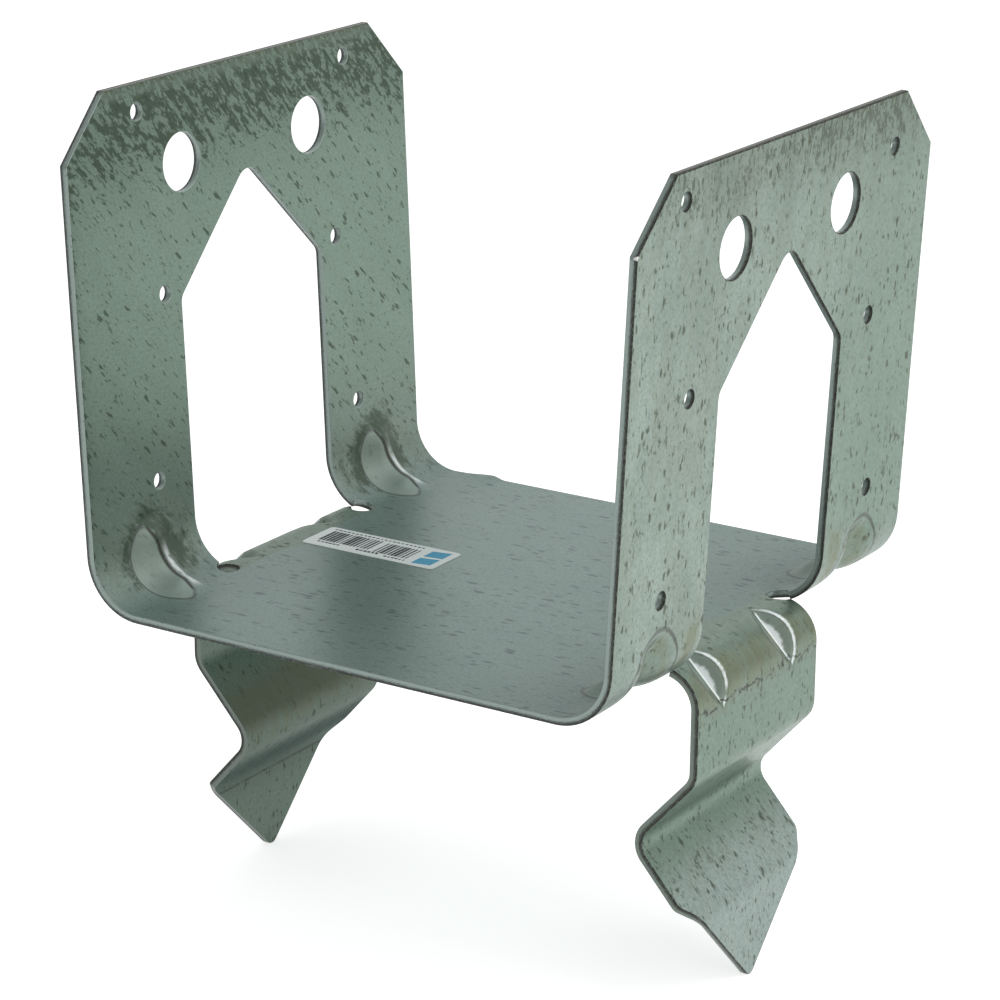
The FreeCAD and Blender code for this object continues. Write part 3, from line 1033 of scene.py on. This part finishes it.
class Paint:
    """Short names for the nodes that paint one material of the sheet in layers."""

    def __init__(self, name, flecks, mottle):
        self.material, self.tree = new_material(name)
        self.flecks = flecks
        self.mottle = mottle
        self.blank = self.read("blank", "Vector")
        self.base = None

    def read(self, name, output="Fac"):
        return node(self.tree, "ShaderNodeAttribute", attribute_name=name).outputs[output]

    def parts(self, name):
        return node(self.tree, "ShaderNodeSeparateXYZ", {0: self.read(name, "Vector")}).outputs

    def mottled(self, along, across, low=0.0, high=1.0):
        """Uneven patches, with sizes in millimetres along the sheet and across it."""
        inputs = {"Vector": self.blank, "Length": along * MM, "Width": across * MM, "Low": low, "High": high}
        return use_group(self.tree, self.mottle, inputs, "Mask")

    def flecked(self, along, across, size, ragged, coverage):
        """Flecks in cells of a size in millimetres along the sheet and across it."""
        inputs = {"Vector": self.blank, "Length": along * MM, "Width": across * MM,
                  "Size": size, "Ragged": ragged, "Coverage": coverage}
        return use_group(self.tree, self.flecks, inputs, "Mask")

    def in_turn(self, operation, values):
        """One operation over all the values, each with the result so far."""
        result = values[0]
        for value in values[1:]:
            result = maths(self.tree, operation, result, value)
        return result

    def times(self, *values):
        return self.in_turn("MULTIPLY", values)

    def plus(self, *values):
        return self.in_turn("ADD", values)

    def most(self, *values):
        return self.in_turn("MAXIMUM", values)

    def add(self, total, value, weight):
        """A total with a weighted value added."""
        return maths(self.tree, "MULTIPLY_ADD", value, weight, total)

    def climb(self, value, low, high):
        """0 up to low, smoothly up to 1 at high."""
        return ramp(self.tree, value, low, high)

    def fall(self, value, low, high):
        """1 up to low, smoothly down to 0 at high."""
        return maths(self.tree, "SUBTRACT", 1.0, ramp(self.tree, value, low, high))

    def line(self, value, level, inner, outer):
        """A line where a value passes a level, with half widths of its core and of its border."""
        return self.fall(maths(self.tree, "ABSOLUTE", self.plus(value, -level)), inner, outer)

    def either(self, mask, first, second):
        return blend(self.tree, mask, opaque(first), opaque(second))

    def lay(self, mask, tone, strength=1.0):
        """Covers the colour so far with a tone, as far as the mask and the strength say."""
        tone = tone if isinstance(tone, bpy.types.NodeSocket) else opaque(tone)
        self.base = blend(self.tree, self.times(mask, strength), self.base, tone)

    def finish(self, roughness, metallic, relief, strength, depth):
        """Closes the material with its shader and a relief of a strength and depth."""
        bump = node(self.tree, "ShaderNodeBump", {"Height": relief, "Strength": strength, "Distance": depth})
        shader = node(self.tree, "ShaderNodeBsdfPrincipled", {
            "Base Color": self.base, "Roughness": roughness, "Metallic": metallic,
            "Normal": bump.outputs[0]})
        finish_material(self.tree, shader)
        return self.material


def paint_zinc(paint, finish):
    """Bright, dull and olive patches of the zinc, painted shade and light, streaks and a fine grain; returns
    the relief.
    """
    paint.base = paint.either(paint.mottled(30, 17, 0.30, 0.70), finish.zinc_dark, finish.zinc_light)
    paint.lay(paint.mottled(18, 5, 0.42, 0.66), finish.zinc_olive, 0.5)
    paint.lay(paint.read("plate"), finish.zinc_plate, 0.72)
    # Painted shade on the uprights and legs
    paint.lay(paint.read("shade"), finish.zinc_painted_shade, 0.8)
    # Painted light on the outer faces of the feet
    paint.lay(paint.read("pale"), finish.foot_painted_light, 0.6)
    # Painted shade inside the legs, below the kink
    paint.lay(paint.read("kink"), finish.kink_painted_shade, 0.9)
    streaks = paint.mottled(5.0, 0.5, 0.40, 0.75)
    grain = paint.mottled(0.8, 0.55, 0.42, 0.62)
    paint.lay(streaks, finish.zinc_dark, 0.3)
    paint.lay(grain, finish.fleck, 0.26)
    return paint.plus(paint.times(grain, 0.35), paint.times(streaks, 0.25))


def paint_flecks(paint, finish):
    """Flecks of the uprights and legs, strokes of the plate and a few pits; returns the flecks."""
    plate = paint.read("plate")
    ragged = paint.times(paint.mottled(3.4, 1.6, 0.60, 0.665), 0.74)
    crisp = paint.times(paint.flecked(4.0, 2.1, 0.48, 0.66, 0.52), 0.86)
    small = paint.times(paint.flecked(2.1, 1.4, 0.44, 0.66, 0.44), 0.72)
    flecks = paint.times(paint.most(ragged, crisp, small), paint.add(1.0, plate, -0.8))
    paint.lay(flecks, paint.either(paint.read("brown"), finish.fleck, finish.brown_fleck))
    strokes = paint.most(paint.mottled(5.5, 1.3, 0.59, 0.68), paint.flecked(5.5, 2.0, 0.46, 0.5, 0.6))
    paint.lay(paint.times(strokes, plate), finish.stroke, 0.75)
    paint.lay(paint.flecked(9.0, 9.0, 0.05, 0.1, 0.24), finish.raw_dark, 0.9)
    return flecks


def paint_band(paint, finish):
    """Torn flakes of the mottled band at the top, over a faint haze; returns its mask."""
    band, brown = paint.read("band"), paint.read("brown")
    torn = paint.add(paint.mottled(5.0, 3.0), paint.mottled(2.2, 1.5), 0.9)
    torn = paint.add(torn, paint.mottled(1.1, 0.8), 0.5)
    flakes = paint.climb(paint.plus(torn, band), 1.90, 2.16)
    flakes = paint.times(flakes, paint.climb(band, 0.05, 0.3), paint.add(0.86, brown, -0.55))
    fine = paint.add(paint.mottled(2.6, 1.3), paint.mottled(1.1, 0.8), 0.5)
    dashes = paint.times(paint.climb(paint.plus(fine, band), 1.50, 1.66), brown, 0.85)
    haze = paint.times(band, band, 0.3)
    mask = paint.most(haze, flakes, dashes)
    paint.lay(mask, paint.either(brown, finish.band, finish.brown_fleck))
    return mask


def paint_stains(paint, finish):
    """Olive cast and dark blotches round the pressings; returns the mask of the dark ones."""
    cast = paint.add(paint.read("olive"), paint.mottled(7.0, 3.0, 0.2, 0.8), 0.6)
    paint.lay(paint.climb(cast, 0.45, 1.3), finish.olive, 0.85)
    blotches = paint.add(paint.mottled(3.6, 2.8, 0.1, 0.9), paint.mottled(1.1, 0.8, 0.1, 0.9), 0.4)
    stain = paint.times(paint.climb(paint.plus(blotches, paint.read("stain")), 0.95, 1.6), 0.82)
    paint.lay(stain, finish.stain)
    return stain


def gusset_oval(paint, across, along, size):
    """Distance from the middle of an oval, 1 on its border, with its half length and half width."""
    scaled = {0: paint.times(across, 1 / size[0]), 1: paint.times(along, 1 / size[1])}
    spot = node(paint.tree, "ShaderNodeCombineXYZ", scaled).outputs[0]
    return vectors(paint.tree, "LENGTH", {0: spot}, "Value")


def gusset_face(paint, across, along):
    """Distance from the middle of a gusset's flat face, 1 on its border."""
    return gusset_oval(
        paint, paint.plus(across, GUSSET_DROP), paint.plus(along, GUSSET_AHEAD), GUSSET_FACE)


def gusset_parts(paint):
    """Place across a gusset and along the fold, with the crest bent forward at its top, and depth."""
    across, along, depth = paint.parts("gusset")
    return across, along, paint.add(along, paint.climb(across, 0.45, 1.0), 0.22), depth


def gusset_creases(paint):
    """Dark outlines of the gussets on both faces of the sheet, and the inner crest line, a painted dark
    reflection.
    """
    across, along, bent, depth = gusset_parts(paint)
    outer = gusset_oval(paint, across, along, (1.0, 1.0))
    recess = paint.times(paint.line(outer, 0.98, 0.015, 0.05), paint.climb(across, -0.5, 0.0))
    recess = paint.times(recess, paint.climb(depth, 0.6, 0.9), 0.6)
    border = paint.line(gusset_face(paint, across, along), 0.97, 0.02, 0.07)
    border = paint.times(border, paint.fall(bent, -0.1, 0.1), 0.55)
    # Painted dark reflection along the crest
    crest = paint.times(paint.line(bent, 0.02, 0.02, 0.07), paint.fall(outer, 0.76, 0.9), 0.85)
    return paint.most(recess, paint.times(paint.most(border, crest), paint.fall(depth, 0.1, 0.4)))


def leg_cracks(paint):
    """Cracked zinc at the end of a leg's root bend, wrinkles below its kink and the crease at its foot."""
    run, _, leg = paint.parts("leg")
    wander = paint.add(paint.mottled(7.0, 7.0, 0.1, 0.9), paint.mottled(1.6, 1.6), 0.7)
    wander = paint.times(paint.plus(wander, -0.85), CRACK_WANDER)
    crack = paint.line(paint.plus(run, wander), ROOT_CRACK, 0.2 * MM, 0.8 * MM)
    crack = paint.times(crack, paint.mottled(2.2, 1.5, 0.38, 0.56), 0.85)
    wrinkles = paint.line(run, KINK_WRINKLES, 0.5 * MM, 4.0 * MM)
    wrinkles = paint.times(wrinkles, paint.mottled(2.6, 1.3, 0.55, 0.66), 0.5)
    crease = paint.line(run, FOOT_CREASE, 0.2 * MM, 0.9 * MM)
    below_kink = paint.climb(paint.read("kink"), 0.15, 0.3)
    crease = paint.times(crease, below_kink, paint.mottled(5.0, 3.0, 0.25, 0.55), 0.5)
    return paint.times(paint.most(crack, wrinkles, crease), leg)


def paint_creases(paint, finish):
    """Dark lines of the gussets, with a painted dark reflection on their crests, and of the legs' bends."""
    paint.lay(paint.most(gusset_creases(paint), leg_cracks(paint)), finish.raw_dark)


def gusset_faces(paint):
    """Flat near part of a gusset's inner face, which gets painted light, and the strip beyond its crest,
    which gets a painted highlight.
    """
    across, along, bent, depth = gusset_parts(paint)
    inside = paint.fall(depth, 0.1, 0.4)
    near = paint.fall(gusset_face(paint, across, along), 0.93, 0.99)
    near = paint.times(near, inside, paint.fall(bent, -0.04, 0.04))
    ends = paint.times(paint.climb(across, -0.82, -0.55), paint.fall(across, 0.0, 0.6))
    # Painted highlight on a strip beyond the crest
    strip = paint.times(paint.line(bent, 0.30, 0.08, 0.24), ends, paint.mottled(3.6, 2.8, 0.3, 0.55))
    return near, paint.times(strip, inside)


def dart_walls(paint):
    """Back walls of the darts, which get painted light, and their painted highlights: deep on the back wall,
    along the valley and on the back rim.
    """
    _, rise, leg = paint.parts("leg")
    behind = paint.read("behind_dart")
    shiny = paint.times(leg, paint.fall(paint.read("dull"), 0.8, 0.95))
    back = paint.times(paint.climb(behind, -0.2 * MM, 0.3 * MM), shiny)
    # Painted highlights deep on the back wall, along the valley and on the back rim
    deep = paint.add(rise, paint.mottled(1.6, 1.6, 0.2, 0.8), 0.8 * MM)
    deep = paint.times(paint.climb(deep, 2.3 * MM, 3.2 * MM), back)
    valley = paint.line(behind, 0.0, 0.2 * MM, 0.6 * MM)
    valley = paint.times(valley, paint.climb(rise, 0.4 * MM, 1.2 * MM), shiny)
    rim = paint.line(rise, 0.18 * MM, 0.04 * MM, 0.16 * MM)
    rim = paint.times(rim, back, paint.mottled(7.0, 7.0, 0.25, 0.55))
    return paint.times(paint.climb(rise, 0.2 * MM, 0.6 * MM), back), paint.most(deep, valley, rim)


def paint_pressings(paint, finish):
    """Painted light on the flat faces and painted highlights on strips of gussets and darts; returns the mask
    of both.
    """
    near, strip = gusset_faces(paint)
    wall, highlight = dart_walls(paint)
    flat = paint.most(near, wall)
    highlight = paint.most(strip, highlight)
    # Painted light on the gussets' near faces and the darts' back walls
    paint.lay(flat, finish.zinc_light, 0.6)
    # Painted highlights beyond the gussets' crests and on the darts
    paint.lay(highlight, finish.bright)
    return paint.most(flat, highlight)


def zinc_material(finish, flecks, mottle):
    """Galvanised face: zinc, flecks, the mottled band, stains, painted light and highlights on the pressings,
    and creases.
    """
    paint = Paint("galvanised_zinc", flecks, mottle)
    relief = paint_zinc(paint, finish)
    marks = paint_flecks(paint, finish)
    band = paint_band(paint, finish)
    stain = paint_stains(paint, finish)
    pressings = paint_pressings(paint, finish)
    paint_creases(paint, finish)
    dull = paint.most(pressings, paint.read("dull"))
    rough = paint.add(finish.zinc_roughness, paint.most(marks, band, stain), 0.14)
    rough = paint.add(rough, dull, 0.12)
    rough = paint.add(rough, paint.read("kink"), 0.4)
    metallic = paint.add(finish.zinc_metallic, dull, -0.6)
    return paint.finish(rough, metallic, relief, 0.16, 0.06 * MM)


def edge_material(finish, flecks, mottle):
    """Sheared edge: smeared zinc near one face, torn dark steel near the other."""
    paint = Paint("sheared_edge", flecks, mottle)
    patches = paint.mottled(7.0, 7.0, 0.2, 0.8)
    border = paint.add(paint.read("cut"), patches, 0.44)
    border = paint.add(border, paint.mottled(1.2, 1.2, 0.2, 0.8), 0.4)
    torn = paint.climb(border, 0.92, 1.06)
    glints = paint.add(1.0, paint.mottled(0.9, 0.9, 0.48, 0.60), -0.5)
    specks = paint.flecked(1.4, 1.4, 0.5, 0.66, 0.5)
    torn = paint.most(paint.times(torn, glints, 0.92), paint.times(specks, 0.45))
    paint.base = paint.either(patches, finish.raw_light, finish.zinc_light)
    brown = paint.climb(paint.read("brown"), 0.5, 1.0)
    dull = paint.most(paint.times(paint.parts("leg")[2], 0.5), paint.times(brown, 0.8))
    paint.lay(dull, finish.raw_brown)
    paint.lay(torn, finish.raw_dark)
    # Painted highlight at the front corner of the right upright
    paint.lay(paint.climb(paint.read("painted_glint"), 0.3, 0.6), finish.painted_glint)
    rough = paint.add(finish.edge_roughness, torn, 0.3)
    return paint.finish(rough, finish.edge_metallic, torn, 0.3, 0.1 * MM)


def finish_piece(piece, slot, *nodes):
    """Links a finished piece to the frame."""
    bpy.context.scene.collection.objects.link(piece)
    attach(piece, BODY)
    if nodes:
        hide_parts(*nodes)


class POSTBASE_OT_sheet(bpy.types.Operator):
    """Builds the folded sheet with its legs, gussets and darts"""
    bl_idname = "postbase.sheet"
    bl_label = "Folded Sheet"

    def execute(self, context):
        sheet = FoldedSheet(context.scene.post_base_sheet)
        mesh = build_sheet_mesh(sheet, "galvanised_sheet")
        if not mesh.polygons:
            raise RuntimeError("the blank could not be filled")
        finish = context.scene.post_base_finish
        flecks, mottle = fleck_group(), mottle_group()
        mesh.materials.append(zinc_material(finish, flecks, mottle))
        mesh.materials.append(edge_material(finish, flecks, mottle))
        finish_piece(bpy.data.objects.new("galvanised_sheet", mesh), "galvanised_steel", SHEET_NODE)
        return {"FINISHED"}


# Label

def paper_group():
    """Faint fibres of the paper, which also break up the print."""
    tree, given, result = new_group("Paper Fibres", [("Amount", FLOAT)], [("Shade", FLOAT)])
    spot = node(tree, "ShaderNodeTexCoord").outputs["Object"]
    noise = node(tree, "ShaderNodeTexNoise", {"Vector": spot, "Scale": 1400.0, "Detail": 3.0})
    shade = maths(tree, "MULTIPLY", maths(tree, "SUBTRACT", noise.outputs["Fac"], 0.5), given["Amount"])
    tree.links.new(maths(tree, "ADD", shade, 1.0), result["Shade"])
    return tree


def paper_material(name, rgb, fibres, contrast):
    material, tree = new_material(name)
    shade = use_group(tree, fibres, {"Amount": contrast}, "Shade")
    base = vectors(tree, "SCALE", {0: rgb, "Scale": shade})
    shader = node(tree, "ShaderNodeBsdfPrincipled", {"Base Color": base, "Roughness": 0.62})
    finish_material(tree, shader)
    return material


def print_group():
    """Geometry nodes for a row of printed marks of uneven width."""
    tree = bpy.data.node_groups.new("Print Row", "GeometryNodeTree")
    sockets = [("Count", "NodeSocketInt"), ("Pitch", FLOAT), ("Narrow", FLOAT), ("Wide", FLOAT),
               ("Height", FLOAT), ("Thickness", FLOAT), ("Seed", "NodeSocketInt"),
               ("Material", "NodeSocketMaterial")]
    for label, kind in sockets:
        tree.interface.new_socket(label, in_out="INPUT", socket_type=kind)
    tree.interface.new_socket("Geometry", in_out="OUTPUT", socket_type="NodeSocketGeometry")
    given = tree.nodes.new("NodeGroupInput").outputs
    step = node(tree, "ShaderNodeCombineXYZ", {0: given["Pitch"]}).outputs[0]
    line = node(tree, "GeometryNodeMeshLine", {"Count": given["Count"], "Offset": step})
    width = node(tree, "FunctionNodeRandomValue", {
        2: given["Narrow"], 3: given["Wide"], "Seed": given["Seed"]}).outputs[1]
    size = node(tree, "ShaderNodeCombineXYZ", {
        0: width, 1: given["Height"], 2: given["Thickness"]}).outputs[0]
    cube = node(tree, "GeometryNodeMeshCube", {"Size": (1.0, 1.0, 1.0)}).outputs[0]
    marks = node(tree, "GeometryNodeInstanceOnPoints", {
        "Points": line.outputs[0], "Instance": cube, "Scale": size}).outputs[0]
    marks = node(tree, "GeometryNodeRealizeInstances", {0: marks}).outputs[0]
    marks = node(tree, "GeometryNodeSetMaterial", {0: marks, "Material": given["Material"]}).outputs[0]
    output = tree.nodes.new("NodeGroupOutput")
    tree.links.new(marks, output.inputs[0])
    return tree


def print_row(group, values):
    """Corner points and faces of one row of marks."""
    carrier = bpy.data.objects.new("print_row", bpy.data.meshes.new("print_row"))
    bpy.context.scene.collection.objects.link(carrier)
    modifier = carrier.modifiers.new("Print Row", "NODES")
    modifier.node_group = group
    for socket in group.interface.items_tree:
        if socket.in_out == "INPUT":
            modifier[socket.identifier] = values[socket.name]
    ready = carrier.evaluated_get(bpy.context.evaluated_depsgraph_get())
    mesh = bpy.data.meshes.new_from_object(ready)
    points = np.array([tuple(vertex.co) for vertex in mesh.vertices])
    faces = [tuple(face.vertices) for face in mesh.polygons]
    carrier.modifiers.remove(modifier)
    bpy.data.objects.remove(carrier)
    bpy.data.meshes.remove(mesh)
    return points, faces


def printed_rows(label, ink):
    """Points and faces of all the marks printed on the label."""
    group = print_group()
    points, faces = [], []
    total = 0
    for count, start, pitch, narrow, wide, across, height, seed in PRINT_ROWS:
        row, row_faces = print_row(group, {
            "Count": count, "Pitch": pitch * MM, "Narrow": narrow * MM, "Wide": wide * MM,
            "Height": height * MM, "Thickness": label.ink_height, "Seed": seed, "Material": ink})
        row += (start * MM, across * MM, label.thickness + label.ink_height / 2)
        points.append(row)
        faces += [tuple(total + index for index in face) for face in row_faces]
        total += len(row)
    return np.concatenate(points), faces


class LabelSpot:
    """The place of the label on the plate, for points given on the label itself."""

    def __init__(self, sheet, label):
        self.sheet = sheet
        self.label = label

    def lay(self, points):
        """Points (along, across, up) of the label laid on the plate."""
        cosine, sine = math.cos(self.label.turn), math.sin(self.label.turn)
        x = self.label.centre[0] + points[:, 0] * cosine - points[:, 1] * sine
        y = self.label.centre[1] + points[:, 0] * sine + points[:, 1] * cosine
        middle, _, _, normals, _ = self.sheet.surface(np.stack([x, y], axis=1))
        return middle + normals * (self.sheet.half + points[:, 2])[:, None]

    def piece(self, name, points, faces, material):
        mesh = bpy.data.meshes.new(name)
        mesh.from_pydata(self.lay(points).tolist(), [], faces)
        mesh.materials.append(material)
        finish_piece(bpy.data.objects.new(name, mesh), "label_paper")


def paper_sheet(label):
    """Points and faces of the paper: strips across it, with rounded ends and a thickness."""
    half_length, half_width, corner = label.length / 2, label.width / 2, label.corner
    turns = np.radians(np.linspace(0, 90, 5))
    ends = half_length - corner + corner * np.sin(turns)
    along = np.concatenate([-ends[::-1], np.linspace(-ends[0], ends[0], 25)[1:-1], ends])
    into_corner = np.clip((np.abs(along) - half_length + corner) / corner, 0, 1)
    across = half_width - corner + corner * np.sqrt(1 - into_corner ** 2)
    count = len(along)
    rows = [(-1, label.thickness), (1, label.thickness), (1, 0.0), (-1, 0.0)]
    points = np.concatenate([
        np.stack([along, side * across, np.full(count, up)], axis=1) for side, up in rows])
    faces = []
    for row in range(4):
        low, high = row * count, (row + 1) % 4 * count
        faces += [(low + i, low + i + 1, high + i + 1, high + i) for i in range(count - 1)]
    faces += [(0, count, 2 * count, 3 * count)]
    faces += [tuple(row * count + count - 1 for row in (3, 2, 1, 0))]
    return points, faces


def colour_field(label):
    """Two slanted blocks of colour at the end of the label."""
    up, down = label.thickness + label.ink_height, label.thickness
    points, faces = [], []
    near, far = FIELD_ENDS
    for low, high in FIELD_SIDES:
        corners = [(near, low), (far, low + 0.7), (far, high + 0.4), (near, high - 0.6)]
        first = len(points)
        points += [(x * MM, y * MM, up) for x, y in corners] + [(x * MM, y * MM, down) for x, y in corners]
        faces += [tuple(first + i for i in (0, 1, 2, 3)), tuple(first + i for i in (7, 6, 5, 4))]
        faces += [(first + (i + 1) % 4, first + i, first + i + 4, first + (i + 1) % 4 + 4) for i in range(4)]
    return np.array(points), faces


class POSTBASE_OT_label(bpy.types.Operator):
    """Lays the paper label with its bars and its colour field on the plate"""
    bl_idname = "postbase.label"
    bl_label = "Paper Label"

    def execute(self, context):
        label = context.scene.post_base_label
        spot = LabelSpot(FoldedSheet(context.scene.post_base_sheet), label)
        fibres = paper_group()
        ink = paper_material("label_ink", label.ink, fibres, 0.5)
        paper = paper_material("label_paper", label.paper, fibres, 0.12)
        field = paper_material("label_field", label.field, fibres, 0.4)
        points, faces = printed_rows(label, ink)
        if not faces:
            raise RuntimeError("the print of the label could not be made")
        spot.piece("paper_label", *paper_sheet(label), paper)
        spot.piece("label_field", *colour_field(label), field)
        spot.piece("label_print", points, faces, ink)
        return {"FINISHED"}


# Studio

def looking(spot, aim):
    """Matrix of a camera or lamp at a spot, turned to an aim."""
    way = Vector(aim) - Vector(spot)
    return Matrix.Translation(spot) @ way.to_track_quat("-Z", "Y").to_matrix().to_4x4()


def area_lamp(name, spot, size, power):
    data = bpy.data.lights.new(name, "AREA")
    data.size = size
    data.energy = power
    lamp = bpy.data.objects.new(name, data)
    lamp.matrix_world = looking(spot, LAMP_AIM)
    bpy.context.scene.collection.objects.link(lamp)


def mirrored_rays(tree):
    """1 for rays that metal or glass mirrors, and the socket of the rays that the camera sees."""
    path = node(tree, "ShaderNodeLightPath").outputs
    return maths(tree, "MAXIMUM", path["Is Glossy Ray"], path["Is Transmission Ray"]), path["Is Camera Ray"]


def studio_world(studio):
    """White backdrop beyond the object, a dimmer room round the camera, and even light."""
    world = bpy.data.worlds.new("studio")
    world.use_nodes = True
    tree = world.node_tree
    tree.nodes.clear()
    way = (Vector(studio.aim) - Vector(studio.eye)).normalized()
    ray = node(tree, "ShaderNodeTexCoord").outputs["Generated"]
    ahead = vectors(tree, "DOT_PRODUCT", {0: ray, 1: way}, "Value")
    backdrop = ramp(tree, ahead, -0.25, 0.45)
    room = maths(tree, "MULTIPLY_ADD", backdrop, studio.backdrop - studio.room, studio.room)
    mirrored, seen = mirrored_rays(tree)
    level = node(tree, "ShaderNodeMix", {0: mirrored, 2: studio.ambient, 3: room}).outputs[0]
    level = node(tree, "ShaderNodeMix", {0: seen, 2: level, 3: studio.backdrop}).outputs[0]
    shader = node(tree, "ShaderNodeBackground", {"Color": (1, 1, 1, 1), "Strength": level})
    output = node(tree, "ShaderNodeOutputWorld")
    tree.links.new(shader.outputs[0], output.inputs["Surface"])
    bpy.context.scene.world = world


def floor_material(studio):
    """Pale floor that keeps a soft shadow and fades into the white background."""
    material, tree = new_material("studio_floor")
    matt = node(tree, "ShaderNodeBsdfDiffuse", {"Color": opaque(studio.floor_colour)})
    glow = node(tree, "ShaderNodeEmission", {"Color": (1, 1, 1, 1), "Strength": studio.floor_glow})
    lit = node(tree, "ShaderNodeAddShader", {0: matt.outputs[0], 1: glow.outputs[0]})
    mirrored, seen = mirrored_rays(tree)
    shown = maths(tree, "MAXIMUM", mirrored, seen)
    shader = node(tree, "ShaderNodeMixShader", {0: shown, 1: matt.outputs[0], 2: lit.outputs[0]})
    finish_material(tree, shader)
    return material


def studio_floor(studio, level):
    corners = [(-1, -1), (1, -1), (1, 1), (-1, 1)]
    mesh = bpy.data.meshes.new("studio_floor")
    mesh.from_pydata([(x * FLOOR_HALF, y * FLOOR_HALF, level) for x, y in corners], [], [(0, 1, 2, 3)])
    mesh.materials.append(floor_material(studio))
    floor = bpy.data.objects.new("studio_floor", mesh)
    bpy.context.scene.collection.objects.link(floor)


def studio_camera(studio):
    data = bpy.data.cameras.new("photo_view")
    data.angle = studio.field_of_view
    data.shift_x = studio.shift_x
    camera = bpy.data.objects.new("photo_view", data)
    camera.matrix_world = looking(studio.eye, studio.aim) @ Matrix.Rotation(studio.roll, 4, "Z")
    bpy.context.scene.collection.objects.link(camera)
    bpy.context.scene.camera = camera


class POSTBASE_OT_studio(bpy.types.Operator):
    """Sets up the camera, the lamps, the floor and the background"""
    bl_idname = "postbase.studio"
    bl_label = "Studio"

    def execute(self, context):
        studio = context.scene.post_base_studio
        context.scene.view_settings.view_transform = "Standard"
        studio_world(studio)
        studio_floor(studio, CAD_BOX[0].z)
        studio_camera(studio)
        for lamp in LAMPS:
            area_lamp(*lamp)
        if context.scene.camera is None:
            raise RuntimeError("the camera could not be made")
        return {"FINISHED"}


class POSTBASE_PT_panel(bpy.types.Panel):
    """Lists the pieces of the post base"""
    bl_idname = "POSTBASE_PT_panel"
    bl_label = "Post Base"
    bl_space_type = "VIEW_3D"
    bl_region_type = "UI"
    bl_category = "Post Base"

    def draw(self, context):
        for operator in OPERATORS:
            self.layout.operator(operator.bl_idname)
        for group in GROUPS:
            settings = getattr(context.scene, group)
            box = self.layout.box()
            for name in settings.__annotations__:
                box.prop(settings, name)


OPERATORS = (POSTBASE_OT_sheet, POSTBASE_OT_label, POSTBASE_OT_studio)
GROUPS = {
    "post_base_sheet": PostBaseSheet,
    "post_base_finish": PostBaseFinish,
    "post_base_label": PostBaseLabel,
    "post_base_studio": PostBaseStudio,
}


def register():
    for kind in (*GROUPS.values(), *OPERATORS, POSTBASE_PT_panel):
        bpy.utils.register_class(kind)
    for name, kind in GROUPS.items():
        setattr(bpy.types.Scene, name, bpy.props.PointerProperty(type=kind))


def unregister():
    for name in GROUPS:
        delattr(bpy.types.Scene, name)
    for kind in (POSTBASE_PT_panel, *OPERATORS[::-1], *GROUPS.values()):
        bpy.utils.unregister_class(kind)


def main():
    register()
    bpy.ops.postbase.sheet()
    bpy.ops.postbase.label()
    bpy.ops.postbase.studio()


if __name__ == "__main__":
    main()
